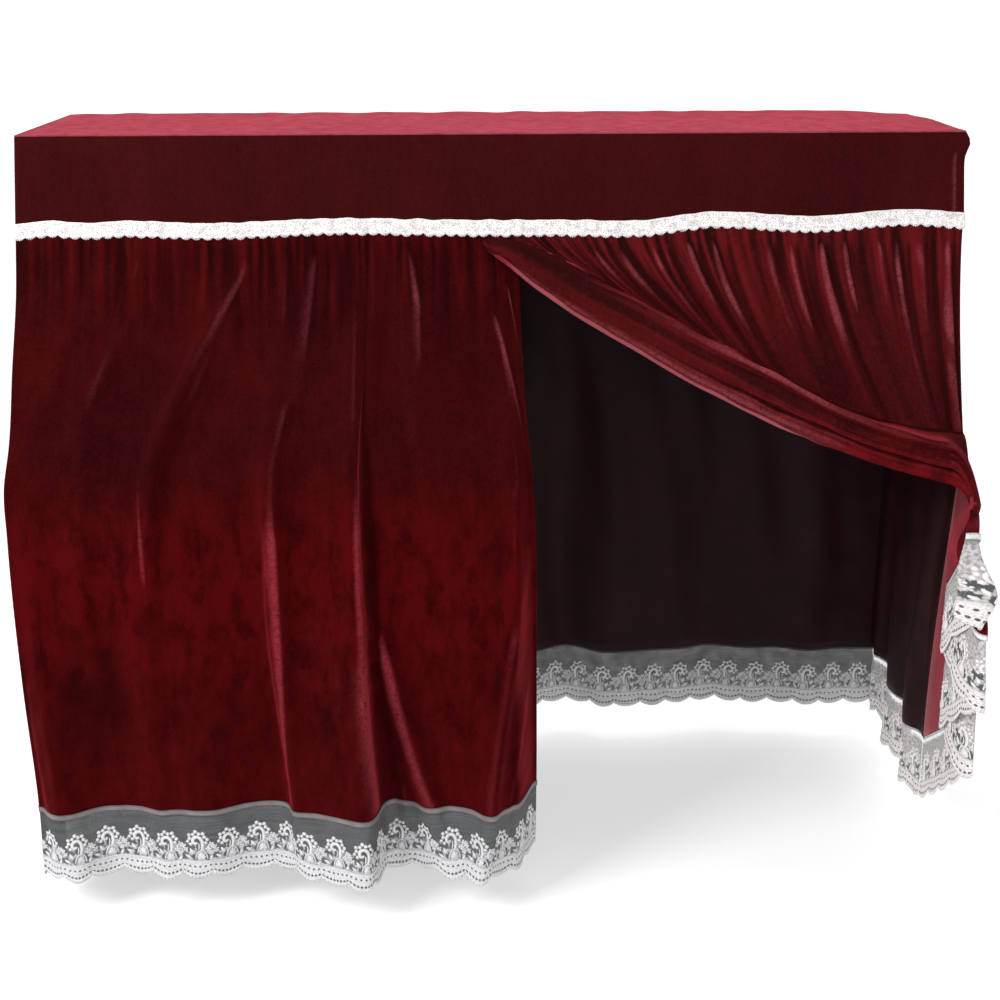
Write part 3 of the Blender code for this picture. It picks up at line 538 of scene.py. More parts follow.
def add_cloth(name, net, thick, materials, offset=0.0, out=None, tone=None, own_map=None):
    """A closed cloth about a net of points. The first material is its face and the second its reverse.

    tone, the cloth's painted highlights and shade, is kept as the attribute crest, and the distances across
    and down as the map Cloth."""
    out = normals(net) if out is None else out
    held = ~np.isnan(net[:, :, 0])
    number = np.where(held, np.cumsum(held).reshape(held.shape) - 1, -1)
    total = int(held.sum())
    cells = cells_of(number)
    cells = cells[(cells >= 0).all(axis=1)]
    edges = np.concatenate([cells[:, [k, (k + 1) % 4]] for k in range(4)])
    keys = np.sort(edges, axis=1) @ np.array([total, 1])
    _, first, count = np.unique(keys, return_index=True, return_counts=True)
    rim = edges[first[count == 1]]
    rims = np.column_stack([rim[:, 1], rim[:, 0], rim[:, 0] + total, rim[:, 1] + total])
    faces = np.concatenate([cells, cells[:, ::-1] + total, rims])
    layers = [(net + out * (offset + side * thick / 2))[held] for side in (1, -1)]
    chosen = np.zeros(len(faces), np.int32)
    chosen[len(cells) : 2 * len(cells)] = len(materials) - 1
    piece = add_mesh(name, np.concatenate(layers), [faces], materials, chosen)
    across, down = net_lengths(net) if own_map is None else own_map
    give_map(piece, np.tile(np.column_stack([across[held], down[held]]), (2, 1)))
    give(piece, "crest", np.tile((np.zeros(held.shape) if tone is None else tone)[held], 2))
    return piece


def give_map(piece, places):
    """A map named Cloth from one place for each point."""
    mesh = piece.data
    corner = np.empty(len(mesh.loops), np.int32)
    mesh.loops.foreach_get("vertex_index", corner)
    layer = mesh.uv_layers.new(name="Cloth")
    layer.data.foreach_set("uv", places[corner].astype(np.float32).reshape(-1))


def give(piece, name, values):
    """An attribute from one number or one vector for each point."""
    kind, key = ("FLOAT", "value") if values.ndim == 1 else ("FLOAT_VECTOR", "vector")
    layer = piece.data.attributes.new(name, kind, "POINT")
    layer.data.foreach_set(key, values.astype(np.float32).reshape(-1))


def wear(piece, slot, *nodes):
    """The piece rides on the cover's one body and stands for these solids."""
    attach(piece, "root")
    if nodes:
        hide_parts(*nodes)


# The cover's own lines, as the solids have them


def seam_z(x):
    return through(FRONT_SEAM, "x", x).z


def band_half_width(z):
    return HALF_WIDTH - VELVET / 2 - FLARE_SIDE * z / SEAM_DROP


def band_half_depth(z):
    return HALF_DEPTH - VELVET / 2 - FLARE_FRONT * z / SEAM_DROP


def around(wall, share, z, offset, thick):
    """A point of a strip that goes round the cover at height z, offset outwards from the bands' middle."""
    half_width = band_half_width(z) + offset
    half_depth = band_half_depth(z) + offset
    full = half_width + thick / 2
    inner = half_depth - thick / 2 - GAP
    if wall == "front":
        return point(-full + 2 * full * share, -half_depth, z)
    if wall == "right":
        return point(half_width, -inner + 2 * inner * share, z)
    if wall == "back":
        return point(full - 2 * full * share, half_depth, z)
    return point(-half_width, inner - 2 * inner * share, z)


def seam_height(wall, share):
    """The seam waves a little on every wall and meets itself at the corners."""
    half = band_half_width(-SEAM_DROP) + VELVET / 2
    left, right = seam_z(-half), seam_z(half)
    if wall == "front":
        return seam_z(-half + 2 * half * share)
    if wall == "back":
        return right + (left - right) * share + 0.002 * np.sin(math.tau * 3.3 * share)
    return (right if wall == "right" else left) + 0.002 * np.sin(math.tau * 2 * share)


def trim_bulge(wall, share):
    """The front trim passes over the place where both leaves are sewn in."""
    if wall != "front":
        return 0.0 * share
    x = (2 * share - 1) * HALF_WIDTH
    return LEAF_OVERLAP * ease(x, -0.075, -0.030) * ease(-x, -0.150, -0.100)


def leaf_line(run):
    line = through(LEAF_PROFILE, "run", run)
    return line.y, line.z


def leaf_out(run):
    """Outward direction of the plain leaf, across its profile, as y and z."""
    y_after, z_after = leaf_line(run + 0.01)
    y_before, z_before = leaf_line(run - 0.01)
    y, z = z_after - z_before, -(y_after - y_before)
    length = np.hypot(y, z)
    return y / length, z / length


def fold_rise(x, run):
    total = 0.0
    for fold in LEFT_FOLDS:
        ridge = np.interp(run, FOLD_RUNS, (fold.upper, fold.shelf, fold.middle, fold.hem))
        drift = (fold.hem - fold.middle) / (FOLD_RUNS[3] - FOLD_RUNS[2])
        ridge = np.where(run > 1.0, fold.hem + drift * (run - 1.0), ridge)
        rises = (0.0, fold.rise_upper, fold.rise_shelf, fold.rise_lace)
        rise = np.interp(run, (0.02, 0.12, FOLD_RUNS[1], LACE_RUN), rises)
        away = x - ridge
        total = total + rise * hump(away, np.where(away < 0, fold.left, fold.right))
    return total


def left_leaf_x(across, run):
    edges = through(LEAF_EDGES, "run", run)
    return edges.corner + (edges.opening - edges.corner) * across


def left_leaf(across, run):
    """Points of the left leaf: across goes from the corner to the opening."""
    across, run = np.broadcast_arrays(across, run)
    x = left_leaf_x(across, run)
    y, z = leaf_line(run)
    z = z + (seam_z(x) - SEAM_GAP + SEAM_DROP) * ease(-run, -SEAM_FADE, 0.0)
    still = ease(across, 0.0, 0.05)
    out_y, out_z = leaf_out(run)
    rise = fold_rise(x, run) * still
    sway = HEM_SWAY * np.sin(math.tau * (x - SWAY_START) / SWAY_PITCH) * ease(run, SHELF_RUN, 1.0) * still
    y = y + out_y * rise + sway * ease(-across, -1.0, -0.9)
    y = y + LEAF_SAG * np.sin(math.pi * np.minimum(run / SHELF_RUN, 1.0)) * ease(across, 0.78, 1.0)
    y = y + LEAF_CURL * ease(run, 0.30, 1.0) * ease(across, CURL_START, 1.0)
    return point(x, y, z + out_z * rise)


def left_corner_line(run):
    out_y, out_z = leaf_out(run)
    back = VELVET / 2 + GAP
    return left_leaf(0.0, run) - point(-VELVET / 2, out_y * back, out_z * back)


def back_edge(side, inset):
    """An upright edge at the back: side is -1 or 1, and a side wall's own edge is inset behind the back."""

    def line(run):
        row = through(BACK_CORNER, "run", run)
        if inset:
            return point((row.x - VELVET / 2) * side, row.y - VELVET / 2 - GAP, row.z)
        return point(row.x * side, row.y, row.z)

    return line


def rim_lift(x):
    drawn_up = START_LIFT * hump(x - SWEPT_START, 0.022)
    arch = RIM_LIFT + 0.006 * hump(x - 0.41, 0.08)
    return drawn_up + arch * (1 - ease(x, 0.50, 0.62)) * ease(x, SWEPT_START, 0.03)


def end_drop(x):
    return END_DROP * (np.clip(x - END_START, 0.0, 0.07) / END_REACH) ** 2.2


def swag_point(x, share):
    """Across the bundle of the swept-back leaf: share 0 is the trough, 1 the free edge."""
    x, share = np.broadcast_arrays(x, share)
    row = through(SWAG_SECTIONS, "x", x)
    trough = point(x, row.trough_y, row.trough_z)
    ridge = point(x, row.ridge_y, row.ridge_z)
    rim = point(x, row.rim_y, row.rim_z)
    above = np.clip(share / RIDGE_SHARE, 0, 1)
    upper = trough + (ridge - trough) * above[..., None]
    sag = 0.10 * np.linalg.norm(ridge - trough, axis=-1)
    upper[..., 2] += sag * np.sin(math.pi * above) * (above - 0.55)
    below = np.clip((share - RIDGE_SHARE) / (1 - RIDGE_SHARE), 0, 1)
    lower = ridge + (rim - ridge) * below[..., None]
    lower[..., 1] -= BUNDLE_CROWN * np.linalg.norm(rim - ridge, axis=-1) * np.sin(math.pi * below**0.7)
    net = np.where((share < RIDGE_SHARE)[..., None], upper, lower)
    rib = through(CASCADE, "share", share).rib * ease(x, 0.05, 0.45)
    net[..., 1] -= rib
    net[..., 2] += 0.5 * rib
    net[..., 2] += rim_lift(x) * below - RIDGE_SINK * ease(x, 0.36, 0.58) * (1 - share)
    net[..., 2] -= end_drop(net[..., 0]) * ease(share, 0.02, 0.26) * (1 - 0.45 * ease(share, 0.6, 1.0))
    return net


def swag_x(seam_x):
    return seam_x + through(HANG_LEAN, "x", seam_x).shift


def hanging_flat(seam_x):
    """The share of the hanging part that lies behind the trim."""
    height = seam_z(seam_x) - SEAM_GAP - swag_point(swag_x(seam_x), 0.0)[..., 2]
    return np.minimum(TRIM_REACH / height, 0.8)


def hanging_point(seam_x, share):
    """The part of the right leaf between the seam and the trough."""
    seam_x, share = np.broadcast_arrays(seam_x, share)
    top_z = seam_z(seam_x) - SEAM_GAP
    top_y = -band_half_depth(top_z) - LEAF_OVERLAP * ease(-seam_x, -0.130, -0.070)
    low = swag_point(swag_x(seam_x), np.zeros_like(share))
    flat = hanging_flat(seam_x)
    x = seam_x + (low[..., 0] - seam_x) * share**1.6
    y = top_y + (low[..., 1] - top_y) * (np.maximum(share - flat, 0.0) / (1 - flat)) ** 1.5
    pleats = sum(pleat.rise * hump(seam_x - pleat.x, pleat.width) for pleat in HANG_PLEATS)
    y = y - pleats * ease(share, 0.08, 0.6) * (1 - 0.35 * share)
    return point(x, y, top_z + (low[..., 2] - top_z) * share)


def fall_point(share, down):
    """The cascade outside the keyboard's end: down 0 is where the bundle crosses it and 1 the hem."""
    share, down = np.broadcast_arrays(share, down)
    start = swag_point(SWEPT_END - RIM_DRAW * share, share)
    row = through(CASCADE, "share", share)
    end = point(row.x, row.y, row.z)
    length = np.linalg.norm(end - start, axis=-1)
    over = ease(share, 0.0, 0.15)
    late = ease(share, 0.80, 0.95)
    reach = 0.004 + 0.012 * late
    lead = point(reach * over, -0.004 * over, -0.030 * over - 0.25 * length * (1 - over))
    near, far = start + lead, end + point(0.0 * length, 0.0, 0.42 * length)
    b = down[..., None]
    a = 1 - b
    net = a**3 * start + 3 * a * a * b * near + 3 * a * b * b * far + b**3 * end
    inward = np.interp(share, INWARD_SHARES, INWARD) * ease(down, 0.25, 1.0)
    net[..., 0] -= inward + WAIST * np.sin(math.pi * down) ** 2 * ease(share, 0.03, 0.20) * (1 - late)
    return net


def right_corner_line(run):
    """The right leaf's edge at the side seam: along its hanging part, then down the cascade."""
    run = np.asarray(run, float)
    upper = hanging_point(SWEPT_END, np.clip(run / SIDE_TURN, 0, 1))
    lower = fall_point(0.0, np.clip((run - SIDE_TURN) / (1.0 - SIDE_TURN), 0, 1))
    lower = lower - point(0.0 * run, 0.0, np.maximum(run - 1.0, 0.0) * WALL_LENGTH)
    return np.where((run < SIDE_TURN)[..., None], upper, lower)


def right_side_line(run):
    """The front edge of the right side, just behind the leaf."""
    after, before = np.minimum(run + 0.01, LACE_RUN), np.maximum(run - 0.01, 0.0)
    step = right_corner_line(after) - right_corner_line(before)
    out = unit(point(0.0 * step[..., 0], step[..., 2], -step[..., 1]))
    return right_corner_line(run) - out * (VELVET / 2 + GAP) - point(VELVET / 2, 0.0, 0.0)


# The skirt's walls: their two upright edges, how many folds they have and where these start, the width over
# which fine gathers are laid, what is added to the seed, how fine the mesh is and the cloth's width
WALLS = {
    row.place: row
    for row in table(
        "place wall first last waves phase reach seed columns rows cut",
        ("left_side", "left", back_edge(-1, True), left_corner_line, 3.0, 0.1, 0.55, 30, 104, 92, SIDE_CUT),
        ("right_side", "right", right_side_line, back_edge(1, True), 2.5, 0.4, 0.55, 40, 104, 92, SIDE_CUT),
        ("back", "back", back_edge(1, False), back_edge(-1, False), 5.5, 0.2, 1.55, 20, 170, 74, BACK_CUT),
    )
}


def wall_point(row, across, run):
    """Points of a wall that hangs between two upright lines, in soft folds that grow towards the hem."""
    across, run = np.broadcast_arrays(across, run)
    start, end = row.first(run), row.last(run)
    top_start, top_end = row.first(np.zeros(1)), row.last(np.zeros(1))
    places = start + (end - start) * across[..., None]
    top_z = (top_start + (top_end - top_start) * across[..., None])[..., 2]
    lift = (seam_height(row.wall, across) - SEAM_GAP - top_z) * ease(-run, -SEAM_FADE, 0.0)
    along = end - start
    out = unit(point(along[..., 1], -along[..., 0], 0.0))
    warped = across + 0.045 * np.sin(math.tau * (1.7 * across + row.phase))
    wave = np.sin(math.tau * (row.waves * warped + row.phase))
    wave = wave + 0.35 * np.sin(math.tau * 1.9 * row.waves * across)
    still = ease(across, 0.04, 0.12) * ease(-across, -0.96, -0.88)
    places = places + out * (FOLD_DEPTH * ease(run, 0.0, 1.0) * wave * still)[..., None]
    places[..., 2] += lift
    return places


# The same cloths with their fine folds


def crease_rise(x, run, rows=LEFT_CREASES):
    """Height of the left leaf's sharp creases. Those that reach the hem go on into the lace."""
    total = 0.0
    for row in rows:
        span = row.run_c - row.run_a
        part = np.clip((run - row.run_a) / span, 0.0, 1.0)
        middle = (row.run_b - row.run_a) / span
        path = row.x_a * (part - middle) * (part - 1) / middle
        path = path + row.x_b * part * (part - 1) / (middle * (middle - 1))
        path = path + row.x_c * part * (part - middle) / (1 - middle)
        if row.run_c > 0.95:
            end = 0.7 * ease(run, 1.0, LACE_RUN)
        else:
            end = ease(part, 0.72, 1.0)
        total = total + row.rise * leaning(x - path, row.width) * (ease(part, 0.0, 0.16) * (1 - end))
    return total


def below_trim(down):
    """Nothing rises behind the trim."""
    return ease(down, 0.008, 0.036)


def left_surface(size):
    soft = uneven(size.seed, 0.16, 0.45)
    crushed = uneven(size.seed + 1, 0.034, 0.060)

    def surface(across, run):
        across, run = np.broadcast_arrays(across, run)
        x = left_leaf_x(across, run)
        down = run * LEAF_LENGTH
        rise = crease_rise(x, run) + gathers(x, down, size.seed + 2, -0.775, 0.04, size)
        rise = rise + 0.0022 * soft(x, down) * ease(down, 0.1, 0.3)
        rise = rise + 0.0005 * crushed(x, down) * ease(run, 0.35, 0.5)
        rise = rise * below_trim(down) * ease(across, 0.0, 0.03) * (1 - 0.6 * ease(across, 0.93, 1.0))
        return lifted(left_leaf(across, run), rise)

    return surface


def wall_surface(row, size):
    seed = size.seed + row.seed
    soft = uneven(seed, 0.13, 0.5)
    crushed = uneven(seed + 1, 0.034, 0.060)

    def surface(across, run):
        across, run = np.broadcast_arrays(across, run)
        along = across * row.reach
        down = run * WALL_LENGTH
        rise = gathers(along, down, seed + 2, 0.0, row.reach, size)
        rise = rise + 0.0028 * soft(along, down) * ease(down, 0.06, 0.4)
        rise = rise + 0.0005 * crushed(along, down) * ease(run, 0.2, 0.4)
        rise = rise * below_trim(down) * inside(across, 0.05)
        return lifted(wall_point(row, across, run), rise)

    return surface


def pleat_rise(seam_x, share):
    total = 0.0
    for row in RIGHT_PLEATS:
        fade = 1 - 0.85 * ease(share, row.reach - 0.30, row.reach + 0.05)
        total = total + row.rise * leaning(seam_x - row.x, row.width * (1 + 0.5 * share)) * fade
    return total


def rib_rise(x, share):
    """Height of the bundle's lengthwise ribs."""
    total = 0.0
    for row in BUNDLE_RIBS:
        total = total + row.rise * hump(share - row.share, row.width) * ease(x, row.start, row.start + 0.16)
    return total


def swept_front(size, seams, hanging, shares):
    """The right leaf's front: its hanging part and its bundle, [along the seam, down]."""
    seam_x = seams[:, None]
    flat = hanging_flat(seams)[:, None]
    share = np.where(hanging < 0, flat * (1 + hanging), flat + (1 - flat) * hanging)
    upper = hanging_point(seam_x, share)
    x = swag_x(seam_x)
    drawn = (x - SWEPT_START) / (SWEPT_END - SWEPT_START) * RIM_DRAW
    bundle = swag_point(x - drawn * shares, np.broadcast_to(shares, (len(seams), len(shares))))
    height = (seam_z(seam_x) - SEAM_GAP) - upper[..., 2]
    soft = uneven(size.seed + 3, 0.11, 0.16)
    rise = pleat_rise(seam_x, share) + gathers(seam_x, height, size.seed + 4, -0.01, 0.775, size)
    rise = rise * below_trim(height) * ease(height, 0.015, 0.06)
    rise = rise + 0.0012 * soft(seam_x, height) * ease(height, 0.03, 0.09)
    ends = ease(seam_x, SWEPT_START, 0.03) * ease(-seam_x, -SWEPT_END, -0.762)
    folds = rib_rise(x, shares) + 0.0016 * soft(x, 0.1 * shares + 0.0 * x) * ease(x, 0.0, 0.2)
    folds = folds * (1 - ease(shares, 0.90, 1.0)) * ease(x, -0.01, 0.06)
    heights = np.concatenate([rise * ends, folds * np.ones_like(seam_x)], axis=1)
    return lifted(np.concatenate([upper, bundle], axis=1), heights)


def swept_fall(downs, shares):
    """The right leaf's cascade, [down, across the bundle]."""
    down = downs[:, None]
    net = fall_point(np.broadcast_to(shares, (len(downs), len(shares))), down)
    folds = rib_rise(np.full_like(down, 0.78), shares[None, :]) * (1 - ease(down, 0.0, 0.35))
    return lifted(net, folds * (1 - ease(shares, 0.90, 1.0)))


def turned_edge(net, out, width, curl):
    """Rows to add past the net's last one: the edge rolls outwards and up over its own face."""
    last = net[:, -1]
    along = last - net[:, -3]
    along = along / np.linalg.norm(along, axis=1, keepdims=True)
    out = out / np.linalg.norm(out, axis=1, keepdims=True)
    out = out - along * (along * out).sum(axis=1, keepdims=True)
    out = out / np.linalg.norm(out, axis=1, keepdims=True)
    rows = []
    for step in range(1, LIP_ROWS + 1):
        length = width * step / LIP_ROWS
        turned = np.minimum(length / LIP_RADIUS, curl)
        beyond = np.maximum(length - curl * LIP_RADIUS, 0.0)
        safe = np.maximum(turned, 1e-6)
        reach = LIP_RADIUS * np.sin(safe) + beyond * np.cos(turned)
        rise = LIP_RADIUS * (1 - np.cos(safe)) + beyond * np.sin(turned)
        rows.append(last + along * reach[:, None] + out * rise[:, None])
    return np.concatenate([net, np.stack(rows, axis=1)], axis=1)


# Materials

BLACK = (0.0, 0.0, 0.0, 1.0)


def add_node(tree, kind, values=None, **settings):
    node = tree.nodes.new(kind)
    for key, value in settings.items():
        setattr(node, key, value)
    for key, value in (values or {}).items():
        if isinstance(value, Value):
            tree.links.new(value.socket, node.inputs[key])
        else:
            node.inputs[key].default_value = value
    return node


def value_of(tree, kind, output, values=None, **settings):
    """What one output of a new node gives."""
    return Value(add_node(tree, kind, values, **settings).outputs[output])


def calc(operation, *values):
    """A step of a formula on values and plain numbers."""
    tree = next(value.tree for value in values if isinstance(value, Value))
    return value_of(tree, "ShaderNodeMath", 0, dict(enumerate(values)), operation=operation)


class Value:
    """What a socket gives. A formula of such values becomes nodes of their tree."""

    def __init__(self, socket):
        self.socket = socket
        self.tree = socket.id_data

    def __add__(self, other):
        return calc("ADD", self, other)

    def __sub__(self, other):
        return calc("SUBTRACT", self, other)

    def __rsub__(self, other):
        return calc("SUBTRACT", other, self)

    def __mul__(self, other):
        return calc("MULTIPLY", self, other)

    def scaled(self, factor, shift):
        return calc("MULTIPLY_ADD", self, factor, shift)

    def clamped(self):
        """The last step's result is held between 0 and 1."""
        self.socket.node.use_clamp = True
        return self

    def ranged(self, low, high, start=0.0, end=1.0):
        """Eased from low..high to start..end."""
        values = {"Value": self, "From Min": low, "From Max": high, "To Min": start, "To Max": end}
        return value_of(self.tree, "ShaderNodeMapRange", "Result", values, interpolation_type="SMOOTHSTEP")

    def axis(self, number):
        return value_of(self.tree, "ShaderNodeSeparateXYZ", number, {0: self})

    def tinted(self, *colour):
        return blended(1.0, self, solid(colour), "MULTIPLY")


def blended(factor, a, b, blend="MIX"):
    tree = next(value.tree for value in (factor, a, b) if isinstance(value, Value))
    values = {0: factor, 6: a, 7: b}
    return value_of(tree, "ShaderNodeMix", 2, values, data_type="RGBA", blend_type=blend)


def noise(vector, scale, detail=2.0, roughness=0.5, distortion=0.0):
    """A noise's value about 0.5. A scale of three numbers stretches it along each axis."""
    if isinstance(scale, tuple):
        vector = value_of(vector.tree, "ShaderNodeMapping", 0, {"Vector": vector, "Scale": scale})
        scale = 1.0
    values = {"Vector": vector, "Scale": scale, "Detail": detail}
    values.update({"Roughness": roughness, "Distortion": distortion})
    return value_of(vector.tree, "ShaderNodeTexNoise", "Fac", values)


def solid(colour):
    return (*colour, 1.0)


def place_in(tree):
    return value_of(tree, "ShaderNodeTexCoord", "Object")


def cloth_map(tree):
    return value_of(tree, "ShaderNodeUVMap", "UV", uv_map="Cloth")


def kept(tree, name):
    """An attribute of the cloth."""
    return value_of(tree, "ShaderNodeAttribute", "Fac", attribute_name=name)


def velvet_pile(tree, given):
    """A cut pile: streaks where it is brushed and crushed patches, mixed between painted shade and painted
    light, with painted shade on slopes that face up and in troughs, painted shade and light on the fine
    gathers, painted light over the keyboard and near the hem, and painted highlights on the crests.
    """
    place, cloth = place_in(tree), cloth_map(tree)
    down = cloth.axis(1)
    bend = kept(tree, "crest")
    hung = 1.0 - kept(tree, "swept")
    upward = value_of(tree, "ShaderNodeNewGeometry", "Normal").axis(2)
    brushed = noise(cloth, (150, 16, 1), 3.0, 0.6, 0.4)
    mottled = noise(place, 170.0, 3.0, 0.65)
    grain = noise(place, 420.0, 2.0, 0.6)
    patches = noise(place, (34.0, 34.0, 17.0), 6.0, 0.66, 0.25)
    broad = noise(place, (6.0, 6.0, 3.0), 2.0, 0.5, 0.4)
    fine = noise(cloth, (58, 3.0, 1), 1.5, 0.5, 0.3)
    tufts = noise(place, 1100.0)

    low = down.ranged(0.36, 0.60) * down.ranged(0.60, 1.0, 1.0, 0.60)
    # Painted shade and light on the fine gathers below the seam, which also raise them in the relief.
    gather = (fine - 0.5) * (down.ranged(0.0, 0.24, 1.0, 0.0) * given["Gathered"] * hung)
    # Crushed pile together with painted light: a brighter, blotchy band where the cloth bends over the
    # keyboard.
    rubbed_and_lit = down.ranged(0.44, 0.60) * down.ranged(0.62, 0.84, 0.34, 0.0)
    rubbed_and_lit = rubbed_and_lit * patches.ranged(0.38, 0.60, 0.35, 1.25) * given["Crushed"]
    shade = patches.scaled(3.4, -1.7) * (low.scaled(0.55, 0.12) * given["Crushed"])
    shade = shade + brushed.scaled(0.40, -0.20) + mottled.scaled(0.80, -0.40) + grain.scaled(0.80, -0.40)
    # The last term is painted light, brighter towards the hem.
    shade = shade + gather * 3.2 + broad.scaled(0.70, -0.35) + rubbed_and_lit + down.ranged(0.82, 0.98, 0.0, 0.16)
    # Painted shade on surfaces that face up.
    upward_shade = upward.ranged(0.02, 0.62) * given["Slope"]
    # Mix between the painted shade and painted light colours.
    colour = blended((shade + 0.55 - upward_shade).clamped(), given["Deep"], given["Lit"])
    colour = blended(low, colour, (1.0, 0.60, 0.70, 1), "MULTIPLY")
    # Painted shade in the troughs.
    colour = blended(bend.ranged(-0.10, -0.80, 0.0, 0.80), colour, given["Deep"])
    flecks = (mottled + grain).scaled(1.7, -0.93).clamped()
    # Painted highlights on the crests, broken up by flecks.
    crest_highlights = blended(low * hung, given["Crest"], (1.0, 0.50, 0.60, 1), "MULTIPLY")
    return {
        "Color": blended((bend.ranged(0.28, 1.00) * flecks).clamped(), colour, crest_highlights),
        "Roughness": patches.ranged(0.3, 0.7, 0.95, 0.72),
        "Height": tufts * 0.00018 + patches * 0.0011 + mottled * 0.0004 + gather * 0.007,
    }


def woven_back(tree, given):
    """The velvet's woven back: fine warp and weft, a little uneven, and a painted highlight where its edge
    is turned.
    """
    place, cloth = place_in(tree), cloth_map(tree)
    weave = (noise(cloth, (60, 1400, 1)) + noise(cloth, (1400, 60, 1))) * 0.5
    shade = weave * 0.5 + noise(place, 14.0, 3.0) * 0.5
    thread = given["Thread"]
    colour = blended(shade.ranged(0.36, 0.64), thread.tinted(0.55, 0.5, 0.5), thread)
    return {
        "Color": blended(kept(tree, "crest").ranged(0.45, 0.90, 0.0, 0.75), colour, given["Turned"]),
        "Roughness": weave.ranged(0.3, 0.7, 0.62, 0.48),
        "Height": weave * 0.00025,
    }


def satin_thread(tree, given):
    """Satin stitch: fine strands, some of them in shade."""
    place, thread = place_in(tree), given["Thread"]
    strands = noise(place, (1500, 1500, 700), 2.0, 0.5, 0.3)
    shade = strands * 0.6 + noise(place, 60.0) * 0.4
    return {
        "Color": blended(shade.ranged(0.38, 0.60), thread.tinted(0.80, 0.80, 0.82), thread),
        "Roughness": strands.ranged(0.3, 0.7, 0.62, 0.44),
        "Height": strands * 0.00025,
    }


def cells_in(cloth, scale, randomness, feature):
    values = {"Vector": cloth, "Scale": scale, "Randomness": randomness}
    kind = {"feature": feature, "voronoi_dimensions": "2D"}
    return value_of(cloth.tree, "ShaderNodeTexVoronoi", "Distance", values, **kind)


def distance(across, down):
    return calc("SQRT", calc("POWER", across, 2.0) + calc("POWER", down, 2.0))


def fine_net(tree, given):
    """Fine net below the tape, then a white ground with uneven gaps and rows of eyelets, and the share that
    is covered by thread and by the painted shade in the gaps, the colour Gap. Its map repeats every
    NET_REPEAT metres."""
    cloth, thread = cloth_map(tree), given["Thread"]
    down = cloth.axis(1)
    phase = calc("FRACT", calc("DIVIDE", cloth.axis(0), NET_REPEAT))
    mesh = cells_in(cloth, 520.0, 0.35, "DISTANCE_TO_EDGE").ranged(0.10, 0.26, 1.0, 0.0)
    lines = noise(cloth, (9, 420, 1), 2.0, 0.6)
    broad = noise(cloth, 38.0, 3.0)
    ragged = noise(cloth, 210.0)
    specks = noise(cloth, 430.0, 2.0, 0.6)

    gap = 0.0
    for (share, depth), (half_width, half_height) in LACE_GAPS:
        away = distance((phase - share) * (NET_REPEAT / half_width), (down - depth) * (1 / half_height))
        gap = calc("MAXIMUM", gap, (away + ragged.scaled(1.7, -0.85)).ranged(0.80, 1.05, 1.0, 0.0))
    edge = down + ragged.scaled(0.020, -0.010)
    white = edge.ranged(given["Start"], given["Start"] + 0.006) * (1.0 - gap)
    wave = calc("POWER", calc("ABSOLUTE", calc("SINE", phase * math.pi)), 0.75)
    for count, top, drop, radius in EYELETS:
        across = (calc("FRACT", phase * count) - 0.5) * (NET_REPEAT / count)
        eyelet = distance(across, down - wave.scaled(drop, top)).ranged(0.6 * radius, radius, 1.0, 0.0)
        white = white * (1.0 - eyelet)
        gap = calc("MAXIMUM", gap, eyelet)

    ground = (mesh.scaled(0.26, 0.64) + broad.scaled(0.4, -0.2)) * given["Closed"]
    # The gaps are partly closed by painted shade.
    ground = calc("MAXIMUM", ground, gap * given["Filled"])
    net = blended(lines.ranged(0.40, 0.62), given["Net"].tinted(0.62, 0.62, 0.64), given["Net"])
    dim, bright = thread.tinted(0.34, 0.34, 0.355), thread.tinted(0.66, 0.66, 0.67)
    filled = blended(ragged.ranged(0.36, 0.62), dim, bright)
    speckled = blended(specks.ranged(0.40, 0.56), bright, thread)
    filled = blended(down.ranged(0.086, 0.098), filled, speckled)
    return {
        "Color": blended(white, blended(gap, net, given["Gap"]), filled),
        "Roughness": mesh.ranged(0.0, 1.0, 0.75, 0.55),
        "Height": mesh * 0.0002 + ragged * 0.0006,
        "Cover": calc("MAXIMUM", ground, white).clamped(),
    }


def lace_ground(tree, given):
    """The trim's dense ground with its tiny holes."""
    cloth, thread = cloth_map(tree), given["Thread"]
    holes = cells_in(cloth, 235.0, 0.85, "F1")
    return {
        "Color": blended(noise(cloth, 90.0).ranged(0.35, 0.6), thread.tinted(0.72, 0.72, 0.74), thread),
        "Roughness": holes.ranged(0.2, 0.6, 0.5, 0.7),
        "Height": holes * 0.0005,
        "Cover": holes.ranged(0.14, 0.30, 0.45, 1.0),
    }


def woven_tape(tree, given):
    """A woven tape: fine ribs and the colour Edge at both edges."""
    cloth, tape = cloth_map(tree), given["Tape"]
    ribs = noise(cloth, (900, 120, 1), 1.0)
    wear_and_highlight = noise(cloth, 40.0).scaled(0.5, 0.25).ranged(0.4, 0.6)
    edge = calc("ABSOLUTE", cloth.axis(1) - 0.0010).ranged(0.0020, 0.0046)
    return {
        "Color": blended(edge, blended(wear_and_highlight, tape.tinted(0.7, 0.68, 0.7), tape), given["Edge"]),
        "Roughness": ribs.ranged(0.3, 0.7, 0.7, 0.5),
        "Height": ribs * 0.0003,
    }


PATTERNS = {
    "Velvet Pile": (
        velvet_pile,
        {"Deep": BLACK, "Lit": BLACK, "Crest": BLACK, "Crushed": 1.0, "Slope": 0.12, "Gathered": 1.0},
    ),
    "Woven Back": (woven_back, {"Thread": BLACK, "Turned": BLACK}),
    "Satin Thread": (satin_thread, {"Thread": BLACK}),
    "Fine Net": (
        fine_net,
        {"Net": BLACK, "Thread": BLACK, "Closed": 1.0, "Start": 0.057, "Gap": BLACK, "Filled": 0.0},
    ),
    "Lace Ground": (lace_ground, {"Thread": BLACK}),
    "Woven Tape": (woven_tape, {"Tape": BLACK, "Edge": BLACK}),
}


